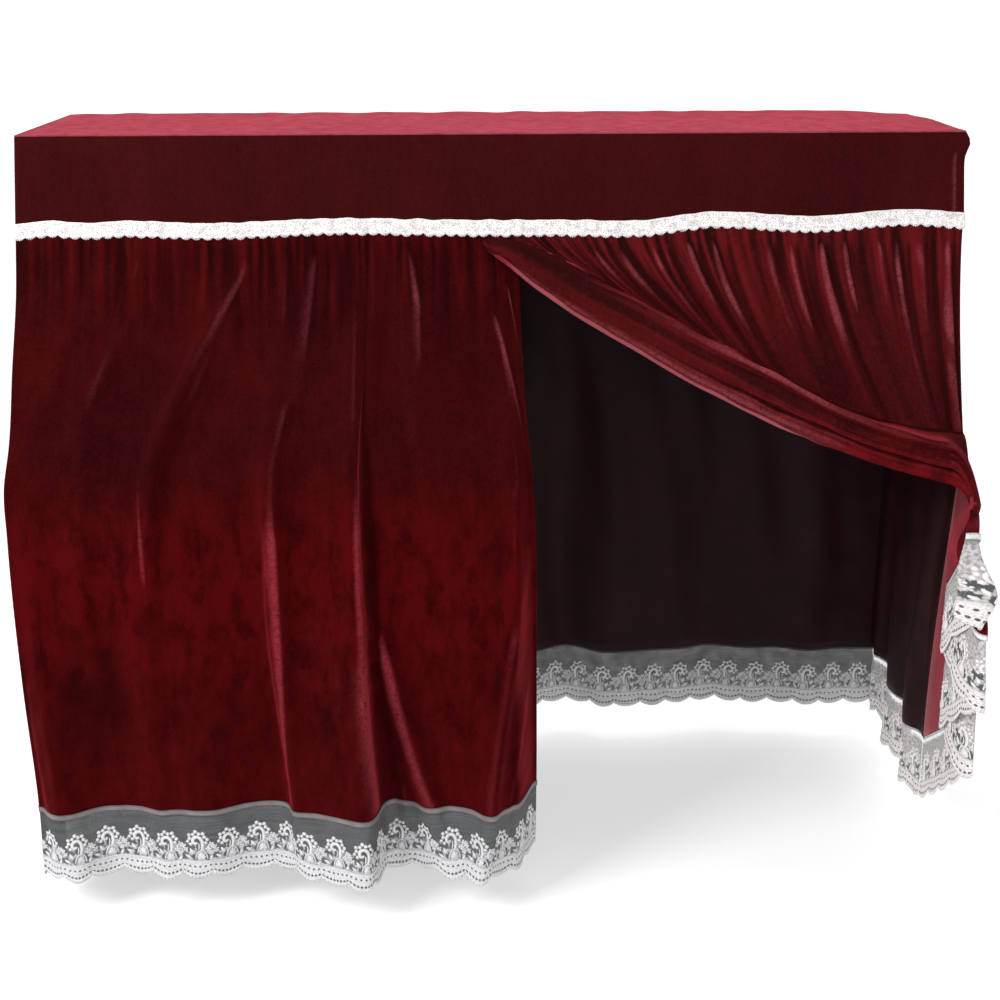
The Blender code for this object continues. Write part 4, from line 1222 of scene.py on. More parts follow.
def pattern(name):
    """A cloth's shared node group, made once in a file."""
    tree = bpy.data.node_groups.get(name)
    if tree:
        return tree
    tree = bpy.data.node_groups.new(name, "ShaderNodeTree")
    fill, inputs = PATTERNS[name]
    for label, value in inputs.items():
        kind = "NodeSocketColor" if value == BLACK else "NodeSocketFloat"
        tree.interface.new_socket(label, in_out="INPUT", socket_type=kind).default_value = value
    given = tree.nodes.new("NodeGroupInput").outputs
    results = fill(tree, {label: Value(given[label]) for label in inputs})
    for label in results:
        kind = "NodeSocketColor" if label == "Color" else "NodeSocketFloat"
        tree.interface.new_socket(label, in_out="OUTPUT", socket_type=kind)
    add_node(tree, "NodeGroupOutput", results)
    return tree


def new_material(name):
    material = bpy.data.materials.new(name)
    material.use_nodes = True
    return material, material.node_tree, material.node_tree.nodes["Principled BSDF"]


def dressed(name, pattern_name, values, constants):
    """A material whose colour, roughness and relief, and cover if it has holes, come from a shared group.
    The constants are the shader's own."""
    material = bpy.data.materials.get(name)
    if material:
        return material
    material, tree, shader = new_material(name)
    cloth = add_node(tree, "ShaderNodeGroup", values, node_tree=pattern(pattern_name)).outputs
    relief = {"Height": Value(cloth["Height"]), "Distance": 1.0, "Strength": 1.0}
    tree.links.new(cloth["Color"], shader.inputs["Base Color"])
    tree.links.new(cloth["Roughness"], shader.inputs["Roughness"])
    tree.links.new(add_node(tree, "ShaderNodeBump", relief).outputs["Normal"], shader.inputs["Normal"])
    if "Cover" in cloth:
        tree.links.new(cloth["Cover"], shader.inputs["Alpha"])
    for key, value in constants.items():
        shader.inputs[key].default_value = value
    return material


def velvet(name, colours):
    deep, lit, crushed, slope, gathered, sheen = VELVETS[name]
    values = {
        "Deep": solid(getattr(colours, deep)),
        "Lit": solid(getattr(colours, lit)),
        "Crest": solid(colours.velvet_crest_highlight),
        "Crushed": crushed,
        "Slope": slope,
        "Gathered": gathered,
    }
    constants = {"Sheen Weight": sheen, "Sheen Roughness": 0.38, "Sheen Tint": solid(colours.velvet_sheen)}
    return dressed(name, "Velvet Pile", values, {**constants, "Specular IOR Level": 0.012})


def reverse(colours, inside=True):
    """The velvet's back: darkened by painted shade inside the cover, and with a painted highlight where it
    is turned outwards.
    """
    name = "Velvet Reverse Inside" if inside else "Velvet Reverse"
    thread = solid(colours.reverse_painted_shade if inside else colours.reverse)
    values = {"Thread": thread, "Turned": thread if inside else TURNED_HIGHLIGHT}
    constants = {"Sheen Weight": 0.0 if inside else 0.25, "Sheen Roughness": 0.4}
    constants.update({"Sheen Tint": (1.0, 0.45, 0.5, 1.0), "Specular IOR Level": 0.1})
    return dressed(name, "Woven Back", values, constants)


def thread_material(name, colour):
    return dressed(name, "Satin Thread", {"Thread": solid(colour)}, {"Sheen Weight": 0.3})


def net_material(name, colours):
    net, thread, closed, start, filled = NETS[name]
    values = {"Net": solid(getattr(colours, net)), "Thread": solid(getattr(colours, thread))}
    values.update({"Gap": solid(colours.tulle), "Closed": closed, "Start": start, "Filled": filled})
    return dressed(name, "Fine Net", values, {"Specular IOR Level": 0.2})


def tape_material(colours, pale):
    tape = colours.net_open if pale else colours.tape
    values = {"Tape": solid(tape), "Edge": solid(0.45 * part for part in tape)}
    return dressed("Header Tape, Open" if pale else "Header Tape", "Woven Tape", values, {})


# Velvet


def spaced(curve, count):
    """Shares from 0 to 1 that lie evenly along a curve of points."""
    shares = np.linspace(0.0, 1.0, 2401)
    lengths = lengths_along(curve(shares))
    return np.interp(np.linspace(0.0, lengths[-1], count), lengths, shares)


def seam_rows(count, length):
    """Shares down a cloth: a few behind the trim, close ones below it and even ones further down."""
    *behind, first = np.array([0.0, 0.008, 0.014, 0.018]) / length
    even = np.linspace(0.0, 1.0, count - 3)
    return np.concatenate([behind, first + (1 - first) * (0.75 * even + 0.25 * even**2)])


def make_leaf(size, colours):
    across = spaced(lambda share: left_leaf(share, 0.8), 320 // FINE)[:, None]
    runs = seam_rows(144 // FINE, LEAF_LENGTH)[None, :]
    net = left_surface(size)(across, runs)
    tone = left_tone(net, across, runs)
    cloths = [velvet("Velvet", colours), reverse(colours)]
    piece = add_cloth("velvet_left_leaf", net, VELVET, cloths, tone=tone)
    wear(piece, "velvet", "skirt_left_leaf")


def left_tone(net, across, runs):
    """Painted highlights and shade of the left leaf's pile: highlights on its creases, more so below the
    keyboard, and painted shade in its troughs and in two patches.
    """
    near_edge = ease(across, 0.91, 0.94)
    edge_shine = 0.6 * near_edge * (1 - ease(runs, 0.42, 0.52))
    tone = crest(net, CREST_REACH, 0.55 + 0.45 * ease(runs, 0.38, 0.55) + edge_shine)
    wear_and_highlight = (1.15 - 0.45 * ease(runs, 0.66, 0.82)) * (1 - 0.4 * near_edge)
    broad = crest(net, 2.4 * CREST_REACH, 0.9, 18 // FINE) * wear_and_highlight
    lower = np.where(broad > 0, np.maximum(0.6 * broad, 0.45 * tone), tone)
    tone = tone + (lower - tone) * ease(runs, 0.55, 0.80)
    x = left_leaf_x(across, runs)
    # Painted highlights along the creases.
    tone = tone + crease_rise(x, runs, LEFT_PAINTED_HIGHLIGHTS)
    # Two patches of painted shade.
    shaded = 0.50 * hump(x + 0.645, 0.078) * hump(runs - 0.80, 0.14)
    shaded = shaded + 0.40 * hump(x - 0.005, 0.032) * hump(runs - 0.55, 0.11)
    return np.clip(tone - shaded, -1.0, 1.0)


def make_wall(row, size, colours):
    across = spaced(lambda share: wall_point(row, share, 0.9), row.columns // FINE)
    runs = seam_rows(row.rows // FINE, WALL_LENGTH)
    net = wall_surface(row, size)(across[:, None], runs[None, :])
    cloths = [velvet("Velvet, Walls", colours), reverse(colours)]
    piece = add_cloth(f"velvet_{row.place}", net, VELVET, cloths, tone=crest(net, CREST_REACH, 0.55))
    wear(piece, "velvet", f"skirt_{row.place}")


def bundle_shares():
    """Shares across the bundle, close together where the cascade turns back."""
    turns = [(0.165, 0.245), (0.31, 0.39), (0.54, 0.62), (0.68, 0.76)]
    close = [np.linspace(start, end, 9 // FINE) for start, end in turns]
    return np.unique(np.round(np.concatenate([np.linspace(0.0, 1.0, 41 // FINE), *close]), 4))


def make_swept_leaf(size, colours):
    """The right leaf. Its front and its cascade are one net, which has no points above the cascade."""
    seams = SWEPT_START + (SWEPT_END - SWEPT_START) * np.linspace(0.0, 1.0, 300 // FINE) ** 0.96
    hanging = np.concatenate([[-1.0, -0.5], np.linspace(0.0, 0.985, 44 // FINE)])
    shares = bundle_shares()
    front = swept_front(size, seams, hanging, shares)
    fall = swept_fall(np.linspace(0.0, 1.0, 84 // FINE)[1:], shares)
    whole = np.full((len(front) + len(fall), front.shape[1], 3), np.nan)
    whole[: len(front)] = front
    whole[len(front) :, -len(shares) :] = fall
    x = np.concatenate([front[:, -1, 0], np.ones(len(fall))])
    wide = ease(x, SWEPT_START, 0.02) * (1 - ease(x, 0.46, 0.60))
    width = LEAST_LIP + (size.lip_width - LEAST_LIP) * wide
    whole = turned_edge(whole, normals(whole)[:, -1], width, 0.15 + 2.9 * wide)
    tone = swept_tone(whole, hanging, shares, size)
    cloths = [velvet("Velvet, Swept", colours), reverse(colours, inside=False)]
    piece = add_cloth("velvet_right_leaf", whole, VELVET, cloths, tone=tone)
    swept = np.zeros(whole.shape[:2])
    swept[:, len(hanging) :] = 1.0
    give(piece, "swept", np.tile(swept[~np.isnan(whole[..., 0])], 2))
    wear(piece, "velvet", "skirt_right_leaf")


def swept_tone(net, hanging, shares, size):
    """Painted highlights and shade of the swept leaf's pile: highlights on its pleats, its bundle's ridge
    and its turned edge, and painted shade on the bundle's upper and front faces.
    """
    across = 1.12 * crest(net, 1.5 * CREST_REACH)
    drift = uneven(size.seed + 5, 0.05, 0.10)(np.nan_to_num(net[..., 0]), np.nan_to_num(net[..., 2]))
    down = np.ones(net.shape[1])
    down[: len(hanging)] = 1.2 - 0.55 * ease(hanging, 0.40, 0.85)
    across = np.where(across > 0, across * down * (0.60 + 0.40 * ease(drift, -0.6, 0.4)), 1.25 * across)
    along = np.clip(crest(net.swapaxes(0, 1), -1.2 * CREST_REACH).T, 0.0, 1.0)
    place = np.full(net.shape[1], -9.0)
    place[len(hanging) :] = 1.0
    place[len(hanging) : len(hanging) + len(shares)] = shares
    x = np.nan_to_num(net[:, -1, 0])[:, None]
    # Painted highlight along the turned edge.
    edge = hump(place - 1.02, 0.18) * ease(x, -0.01, 0.06) * (1 - 0.75 * ease(x, 0.44, 0.64))
    # Painted highlight on the bundle's ridge, then painted shade on its upper face.
    ridge = hump(place - RIDGE_SHARE, 0.038) * (0.15 + 0.62 * hump(x - 0.43, 0.13))
    ridge = ridge - 1.2 * (1 - ease(place, 0.22, 0.29)) * ease(x, 0.06, 0.14)
    # Painted shade on the bundle's front face.
    face = 0.35 * hump(place - 0.58, 0.16) * (1 - ease(x, 0.50, 0.60))
    painted = np.where(place < 0.0, 0.0, 0.90 * edge + ridge - face)
    return np.clip(across + 0.35 * along + painted, -1.0, 1.0)


def with_corner(net):
    """The top's right corner: a small pouch at the front and a soft dip at the back."""
    x, y, z = (net[..., k] for k in range(3))
    near = ease(x, 0.70, 0.76)
    pouch = POUCH * hump(y + HALF_DEPTH, 0.035) * hump(z + 0.016, 0.016) * near
    dip = CORNER_DIP * ease(x, 0.60, 0.765) * ease(y, 0.0, HALF_DEPTH) * ease(z, -0.10, 0.0)
    return net + point(pouch, 0.0, -dip)


def make_band(wall, columns, size, colours):
    share = np.linspace(0.0, 1.0, columns // FINE)[:, None]
    down = np.linspace(0.0, 1.0, 16 // FINE)[None, :]
    z = -GAP + (seam_height(wall, share) + GAP) * down
    net = around(wall, share, z, 0.0, VELVET)
    soft = uneven(size.seed + 50, 0.10, 0.12)
    rise = 0.0009 * soft(share * 1.5, z) * ease(down, 0.0, 0.15) * (1 - ease(down, 0.6, 0.85))
    net = with_corner(lifted(net, rise * inside(share, 0.03)))
    # A painted highlight down the front band's right corner.
    corner = 0.75 if wall == "front" else 0.0
    wear_and_highlight = corner * hump(share - 0.9885, 0.0035) * ease(down, 0.10, 0.30)
    cloths = [velvet("Velvet Band", colours), reverse(colours)]
    piece = add_cloth(f"velvet_band_{wall}", net, VELVET, cloths, tone=wear_and_highlight)
    wear(piece, "velvet", f"band_{wall}")


def make_top(size, colours):
    x = np.linspace(-1.0, 1.0, 140 // FINE)[:, None]
    y = np.linspace(1.0, -1.0, 48 // FINE)[None, :]
    net = point(x * HALF_WIDTH, y * HALF_DEPTH, VELVET / 2)
    soft = uneven(size.seed + 60, 0.22, 0.15)(net[..., 0], net[..., 1])
    ripple = uneven(size.seed + 61, 0.10, 9.0)(net[..., 0], net[..., 1])
    edge = np.minimum(1 - np.abs(x), (1 - np.abs(y)) * HALF_DEPTH / HALF_WIDTH) * HALF_WIDTH
    net[..., 2] += 0.0012 * soft * ease(edge, 0.0, 0.05)
    net[..., 2] += 0.0013 * (1 + ripple) * ease(y, 0.75, 1.0) * ease(-np.abs(x), -1.0, -0.95)
    cloths = [velvet("Velvet Top", colours), reverse(colours)]
    piece = add_cloth("velvet_top", with_corner(net), VELVET, cloths)
    wear(piece, "velvet", "top_panel")


# Lace


def scallop(along, repeat):
    """1 at the middle of a scallop and 0 where two meet."""
    return np.abs(np.sin(math.pi * along / repeat)) ** 0.75


def arc(middle_x, middle_down, reach_x, reach_down, turns):
    """Points round a middle. turns are in degrees, 0 right and 90 up."""
    turns = np.radians(turns)
    return np.column_stack([middle_x + reach_x * np.cos(turns), middle_down - reach_down * np.sin(turns)])


class Thread:
    """Collects small raised shapes, drawn in centimetres: x to the right, down from the lace's top edge.
    Their heights are in millimetres."""

    def __init__(self):
        self.points = []
        self.faces = []

    def add(self, points, faces):
        first = len(self.points)
        self.points += [(x / 100, -down / 100, height / 1000) for x, down, height in points]
        self.faces += [tuple(first + k for k in face) for face in faces]

    def cord(self, line, width, height, taper=1.0):
        """A satin-stitched cord along a line, raised on both faces of the net. taper narrows its ends."""
        line = np.array(line, float)
        count = len(line)
        along = np.gradient(line, axis=0)
        along /= np.linalg.norm(along, axis=1, keepdims=True)
        side = np.column_stack([along[:, 1], -along[:, 0]])
        side *= (width / 2 * (1 - (1 - taper) * np.linspace(-1, 1, count) ** 4))[:, None]
        rails = [(line + side, 0.0), (line, height), (line - side, 0.0), (line, -height)]
        faces = []
        for i in range(count - 1):
            for k in range(4):
                a, b = k * count + i, (k + 1) % 4 * count + i
                faces.append((a, a + 1, b + 1, b))
        faces.append(tuple(k * count for k in range(4)))
        faces.append(tuple(k * count + count - 1 for k in reversed(range(4))))
        self.add([(*place, rise) for rail, rise in rails for place in rail], faces)

    def petal(self, x, down, length, width, turn, height, sides=6, tip=0.35):
        """A leaf shape about its middle, raised on both faces. turn is in degrees, 0 right and 90 up."""
        angles = math.tau * np.arange(sides) / sides
        along = length / 2 * np.cos(angles)
        across = width / 2 * np.sin(angles) * (1 - tip * np.cos(angles))
        c, s = math.cos(math.radians(turn)), math.sin(math.radians(turn))
        rim = [(x + a * c - b * s, down - a * s - b * c, 0.0) for a, b in zip(along, across)]
        faces = [(k, (k + 1) % sides, sides) for k in range(sides)]
        faces += [((k + 1) % sides, k, sides + 1) for k in range(sides)]
        self.add([*rim, (x, down, height), (x, down, -height)], faces)

    def dot(self, x, down, radius, height, sides=6):
        self.petal(x, down, 2 * radius, 2 * radius, 90.0, height, sides, 0.0)

    def flower(self, x, down, reach, start):
        """Four petals about a raised middle."""
        turns = start + 90.0 * np.arange(4)
        for turn, place in zip(turns, arc(x, down, 0.52 * reach, 0.52 * reach, turns)):
            self.petal(*place, 0.88 * reach, 0.80 * reach, turn, 0.9, 6, 0.1)
        self.dot(x, down, 0.30 * reach, 1.3)

    def build(self, name, lift=0.0):
        kinds = sorted({len(face) for face in self.faces})
        faces = [np.array([face for face in self.faces if len(face) == kind]) for kind in kinds]
        return add_mesh(name, np.array(self.points) + (0.0, 0.0, lift), faces)


def soft_line(knots, count):
    """A soft line through a few places."""
    knots = np.array(knots, float)
    return smooth(knots, np.arange(len(knots)), np.linspace(0, len(knots) - 1, count))


def hem_motif(repeat):
    """One repeat of the hem lace: a hooked scroll in a wreath of blossoms, a shell, leaves and a scalloped
    edge. The ground's gaps and eyelets belong to the net."""
    lace = Thread()
    wide = repeat * 100
    hook = [(3.35, 7.5), (3.55, 6.5), (3.45, 5.4), (2.85, 4.75)]
    hook += [(2.15, 4.90), (1.90, 5.55), (2.25, 6.05), (2.70, 5.80)]
    stem = [(2.85, 7.3), (3.00, 6.6), (2.92, 5.95)]
    lace.cord(soft_line(hook, 17), 0.72, 1.6, 0.6)
    lace.cord(soft_line(stem, 6), 0.26, 0.8, 0.6)
    # blossoms round the hook, from its left foot over the top to its right foot
    turns = (214, 188, 165, 143, 120, 98, 76, 54, 30, 8, -14)
    reaches = (1.30, 1.62, 1.34, 1.68, 1.36, 1.74, 1.38, 1.70, 1.42, 1.72, 1.50)
    sizes = (0.40, 0.38, 0.42, 0.44, 0.40, 0.46, 0.42, 0.44, 0.42, 0.42, 0.38)
    for place, radius in zip(arc(2.65, 5.45, np.array(reaches), np.array(reaches), turns), sizes):
        lace.dot(*place, radius, 1.5)
    # a cluster between two hooks
    flowers = [(4.95, 6.10, 0.60), (0.20, 6.55, 0.62), (0.70, 7.20, 0.54)]
    flowers += [(4.50, 7.00, 0.62), (5.00, 7.75, 0.58)]
    for x, down, reach in flowers:
        lace.flower(x, down, reach, 60.0 * x)
    # leaves, and the shell with its ribs
    lace.petal(1.75, 7.55, 1.70, 0.72, 125, 1.2, 8)
    lace.petal(1.05, 8.55, 1.60, 0.70, 150, 1.1, 8)
    lace.petal(5.00, 8.75, 1.30, 0.62, 60, 1.1, 8)
    lace.petal(3.35, 8.45, 2.30, 1.75, 95, 1.3, 10, 0.25)
    lace.cord(arc(3.35, 8.95, 0.98, 1.62, np.linspace(180.0, 0.0, 10)), 0.26, 1.6)
    reaches = np.array([0.15, 0.55, 0.95])
    for turn in np.degrees(np.linspace(math.pi - 0.45, 0.45, 5)):
        lace.cord(arc(3.35, 9.20, 0.90 * reaches, 1.75 * reaches, turn), 0.22, 1.5, 0.7)
    # the border: two cords, the edge cord and its picots
    at = np.linspace(0.0, wide, 11)
    border = [(9.38, 0.20, 0.26, 1.1), (10.32, 0.60, 0.18, 0.9), (11.30, 0.98, 0.40, 1.1)]
    for down, drop, width, height in border:
        lace.cord(np.column_stack([at, down + drop * scallop(at, wide)]), width, height)
    for k in range(9):
        x = wide * (k + 0.5) / 9
        lace.dot(x, 11.52 + 1.04 * scallop(x, wide), 0.25, 1.0)
    return lace.build("hem motif")


def trim_motif(repeat):
    """One scallop of the narrow trim, with its picots and a small flower."""
    lace = Thread()
    wide = repeat * 100
    at = np.linspace(0.0, wide, 7)
    lace.cord(np.column_stack([at, np.full(7, 0.16)]), 0.20, 0.9)
    lace.cord(np.column_stack([at, 1.95 + 0.42 * scallop(at, wide)]), 0.26, 0.9)
    turns = (45, 135, 225, 315)
    for turn, place in zip(turns, arc(wide / 2, 1.10, 0.26, 0.26, turns)):
        lace.petal(*place, 0.44, 0.26, turn, 0.7, 5)
    dots = [(0.3, 2.66, 0.7), (0.5, 2.74, 0.7), (0.7, 2.66, 0.7), (0.0, 0.75, 0.6), (0.0, 1.50, 0.6)]
    for share, down, height in dots:
        lace.dot(wide * share, down, 0.12, height, 5)
    return lace.build("trim motif")


def stitch_motif(length, base):
    """A short stitch that lies base metres outside the cloth."""
    lace = Thread()
    lace.cord([(0.0, 0.0), (length * 50, 0.0), (length * 100, 0.0)], 0.07, 0.5, 0.5)
    return lace.build("stitch motif", base)


def repeat_tree():
    """Geometry Nodes: copies a flat motif along a line and lays the run on a cloth by its own map."""
    tree = bpy.data.node_groups.new("Repeat Along Cloth", "GeometryNodeTree")
    inputs = {"Geometry": "Geometry", "Motif": "Object", "Cloth": "Object", "Material": "Material"}
    inputs.update({"Count": "Int", "Seed": "Int"})
    inputs.update(dict.fromkeys(("Repeat", "Drop", "Width", "Unevenness"), "Float"))
    for label, kind in inputs.items():
        tree.interface.new_socket(label, in_out="INPUT", socket_type=f"NodeSocket{kind}")
    tree.interface.new_socket("Geometry", in_out="OUTPUT", socket_type="NodeSocketGeometry")
    given = {socket.name: Value(socket) for socket in tree.nodes.new("NodeGroupInput").outputs}

    def first_of(kind, values=None, **settings):
        return value_of(tree, kind, 0, values, **settings)

    step = first_of("ShaderNodeCombineXYZ", {"X": given["Repeat"]})
    start = first_of("ShaderNodeCombineXYZ", {"Y": given["Drop"] * -1.0})
    row = {"Count": given["Count"], "Start Location": start, "Offset": step}
    motif = value_of(tree, "GeometryNodeObjectInfo", "Geometry", {"Object": given["Motif"]})
    least = {"Seed": given["Seed"], 2: 1.0 - given["Unevenness"], 3: 1.0}
    chance = value_of(tree, "FunctionNodeRandomValue", 1, least, data_type="FLOAT")
    tall = first_of("ShaderNodeCombineXYZ", {"X": 1.0, "Y": chance, "Z": 1.0})
    line = first_of("GeometryNodeMeshLine", row, mode="OFFSET")
    placed = first_of("GeometryNodeInstanceOnPoints", {"Points": line, "Instance": motif, "Scale": tall})
    flat = first_of("GeometryNodeRealizeInstances", {"Geometry": placed})

    cloth = value_of(tree, "GeometryNodeObjectInfo", "Geometry", {"Object": given["Cloth"]})
    own_map, out = (
        first_of("GeometryNodeInputNamedAttribute", {"Name": name}, data_type="FLOAT_VECTOR")
        for name in ("Cloth", "out")
    )
    here = first_of("GeometryNodeInputPosition")
    within = {"Value": here.axis(0), "Min": CARRIER_EDGE, "Max": given["Width"] - CARRIER_EDGE}
    held = first_of("ShaderNodeClamp", within)
    wanted = first_of("ShaderNodeCombineXYZ", {"X": held, "Y": here.axis(1) * -1.0})
    sources = {"Mesh": cloth, "Source UV Map": own_map, "Sample UV": wanted}
    under, outward = (
        first_of("GeometryNodeSampleUVSurface", {**sources, "Value": value}, data_type="FLOAT_VECTOR")
        for value in (here, out)
    )
    lift = first_of("ShaderNodeVectorMath", {0: outward, "Scale": here.axis(2)}, operation="SCALE")
    place = first_of("ShaderNodeVectorMath", {0: under, 1: lift}, operation="ADD")
    laid = first_of("GeometryNodeSetPosition", {"Geometry": flat, "Position": place})
    coloured = first_of("GeometryNodeSetMaterial", {"Geometry": laid, "Material": given["Material"]})
    add_node(tree, "NodeGroupOutput", {0: coloured})
    return tree


def carrier_of(net, along, down, out):
    """An open net that carries motifs: its map is in metres along and down the cloth."""
    number = np.arange(net.shape[0] * net.shape[1]).reshape(net.shape[:2])
    carrier = add_mesh("carrier", net.reshape(-1, 3), [cells_of(number)])
    give_map(carrier, np.stack(np.broadcast_arrays(along, down), axis=-1).reshape(-1, 2))
    give(carrier, "out", unit(out).reshape(-1, 3))
    return carrier


def repeated(name, carrier, motif, values):
    """A mesh of motifs along the carrier's whole width, made with the tree above. The values are its inputs.
    The carrier and the motif are removed."""
    tree = bpy.data.node_groups.get("Repeat Along Cloth") or repeat_tree()
    values.update({"Motif": motif, "Cloth": carrier, "Count": round(values["Width"] / values["Repeat"])})
    piece = bpy.data.objects.new(name, bpy.data.meshes.new(name))
    bpy.context.scene.collection.objects.link(piece)
    modifier = piece.modifiers.new("repeat", "NODES")
    modifier.node_group = tree
    for item in tree.interface.items_tree:
        if item.item_type == "SOCKET" and item.in_out == "INPUT" and item.name in values:
            modifier[item.identifier] = values[item.name]
    mesh = bpy.data.meshes.new_from_object(piece.evaluated_get(bpy.context.evaluated_depsgraph_get()))
    piece.modifiers.remove(modifier)
    unused = [piece.data, carrier.data, motif.data]
    piece.data = mesh
    bpy.data.batch_remove([carrier, motif, *unused])
    mesh.name = name
    mesh.polygons.foreach_set("use_smooth", np.full(len(mesh.polygons), True))
    if not len(mesh.polygons):
        raise RuntimeError(f"{name}: the motif was not laid on the cloth")
    return piece


def flare(share, down):
    """How the cascade's lace opens towards the front at its turns, and bells out at its free edge."""
    first = hump(share - 0.94, 0.085)
    turned = hump(share - 0.92, 0.062)
    open_down = ease(down, 0.0, 0.13)
    x = 0.030 * hump(down - 0.080, 0.042) * turned - 0.016 * ease(down, 0.0, 0.06) * hump(share - 1.0, 0.040)
    x = x + 0.010 * open_down * hump(share - 0.53, 0.05)
    x = x - 0.012 * open_down * hump(share - 0.65, 0.05) - 0.010 * open_down * hump(share - 0.27, 0.05)
    y = -0.030 * ease(down, 0.0, 0.075) * first
    y = y - 0.012 * open_down * (hump(share - 0.58, 0.05) + hump(share - 0.205, 0.05))
    return point(x, y, -0.14 * down * first)


class Hem:
    """A velvet's lower edge, measured along its length: points below it, and the directions outwards."""

    def __init__(self, place, size):
        self.swept = place == "right_leaf"
        self.shares = np.linspace(0.0, 1.0, 1601)
        if place == "left_leaf":
            self.surface, self.length = left_surface(size), LEAF_LENGTH
        elif not self.swept:
            self.surface, self.length = wall_surface(WALLS[place], size), WALL_LENGTH
        if self.swept:
            line = fall_point(1 - self.shares, 1.0)
        else:
            line = self.surface(self.shares[:, None], np.array([[0.995, 1.0]]))[:, 1]
        self.lengths = lengths_along(line)
        self.total = self.lengths[-1]

    def at(self, along, down):
        """Points at lengths along the hem, [along, down], down metres below it."""
        across, down = np.broadcast_arrays(np.interp(along, self.lengths, self.shares), down)
        if self.swept:
            edge = fall_point(1 - across, np.ones_like(across))
            return edge - point(0.0, 0.0, down) + flare(1 - across, down)
        return self.surface(across, 1.0 + down / self.length)

    def out(self, along):
        """Outward directions of the velvet at its hem, for the tape that covers the seam."""
        if self.swept:
            across = np.interp(along, self.lengths, self.shares)
            return normals(fall_point(1 - across, np.array([[0.985, 1.0]])))[:, 1:]
        return normals(self.at(along, np.array([[-0.004, 0.0]])))[:, 1:]


def make_hem_lace(place, size, colours):
    """A length of hem lace with its embroidery, and the header tape with its stitches."""
    hem = Hem(place, size)
    width = hem.total
    count = max(1, round(width / size.lace_repeat))
    repeat = width / count
    single = place in ("right_leaf", "right_side")
    kind = ", Open" if single else ""
    along = np.linspace(0.0, width, count * (16 // FINE) + 1)[:, None]
    bottom = LACE_DEPTH + LACE_SCALLOP * scallop(along, repeat)
    down = LACE_START + (bottom - LACE_START) * np.linspace(0.0, 1.0, 18 // FINE)[None, :]
    own_map = (np.broadcast_to(along / repeat * NET_REPEAT, down.shape), down)
    cloths = [net_material(f"Lace Net{kind}", colours)]
    ground = add_cloth(f"tulle_{place}", hem.at(along, down), TULLE, cloths, own_map=own_map)

    along = np.linspace(0.0, width, count * 22 + 1)[:, None]
    depth = np.linspace(*HEM_CARRIER, 44)[None, :]
    net = hem.at(along, depth)
    white = thread_material(f"Lace Thread{kind}", colours.trim if single else colours.lace)
    carrier = carrier_of(net, along, depth, normals(net))
    values = {"Width": width, "Repeat": repeat, "Unevenness": 0.03, "Seed": size.seed, "Material": white}
    raised = repeated(f"embroidery_{place}", carrier, hem_motif(repeat), values)

    tape_along = np.linspace(0.0, width, count * 9 + 1)[:, None]
    tape_down = np.array([[-TAPE_ABOVE, -0.0025, 0.0, 0.003, TAPE_BELOW]])
    out = np.repeat(hem.out(tape_along), tape_down.size, axis=1)
    own_map = np.broadcast_arrays(tape_along, tape_down)
    cloths = [tape_material(colours, place == "right_leaf")]
    tape_net = hem.at(tape_along, tape_down)
    tape = add_cloth(f"header_{place}", tape_net, TAPE, cloths, COVER_OFFSET, out, own_map=own_map)

    carrier = carrier_of(net, along, depth, np.repeat(hem.out(along), depth.size, axis=1))
    stitch = stitch_motif(size.stitch_pitch * 0.62, COVER_OFFSET + TAPE / 2)
    grey = thread_material("Tape Thread", colours.tape)
    values = {"Width": width, "Repeat": size.stitch_pitch, "Drop": -0.0020, "Material": grey}
    sewn = repeated(f"stitches_{place}", carrier, stitch, values)

    wear(ground, "lace", f"lace_{place}")
    wear(raised, "lace")
    wear(tape, "tape", f"tape_{place}")
    wear(sewn, "tape")


def make_trim(wall, size, colours):
    """A length of the narrow lace over the seam between band and skirt."""
    half = band_half_width(-SEAM_DROP) if wall in ("front", "back") else band_half_depth(-SEAM_DROP)
    width = 2 * half
    count = round(width / size.trim_repeat)
    repeat = width / count
    wobble = uneven(size.seed + 70, 0.055)

    def at(along, down):
        share = along / width
        z = seam_height(wall, share) + TRIM_HALF - down
        z = z + TRIM_WOBBLE * wobble(along) * inside(share, 0.02)
        net = around(wall, share, z, COVER_OFFSET, TAPE)
        return net + normals(net) * trim_bulge(wall, share)[..., None]

    along = np.linspace(0.0, width, count * (8 // FINE) + 1)[:, None]
    bottom = TRIM_DEPTH + TRIM_SCALLOP * scallop(along, repeat)
    down = bottom * np.linspace(0.0, 1.0, 8 // FINE)[None, :]
    own_map = (np.broadcast_to(along / repeat * size.trim_repeat, down.shape), down)
    trim_colour = {"Thread": solid(colours.trim)}
    cloths = [dressed("Lace Ground", "Lace Ground", trim_colour, {})]
    ground = add_cloth(f"lace_trim_{wall}", at(along, down), TRIM, cloths, own_map=own_map)
    along = np.linspace(0.0, width, count * 3 + 1)[:, None]
    depth = np.linspace(*TRIM_CARRIER, 6)[None, :]
    net = at(along, depth)
    carrier = carrier_of(net, along, depth, normals(net))
    white = thread_material("Trim Thread", colours.trim)
    values = {"Width": width, "Repeat": repeat, "Material": white}
    raised = repeated(f"trim_embroidery_{wall}", carrier, trim_motif(repeat), values)
    wear(ground, "lace", f"trim_{wall}")
    wear(raised, "lace")
    area = float(width * bottom.mean())


# Stage


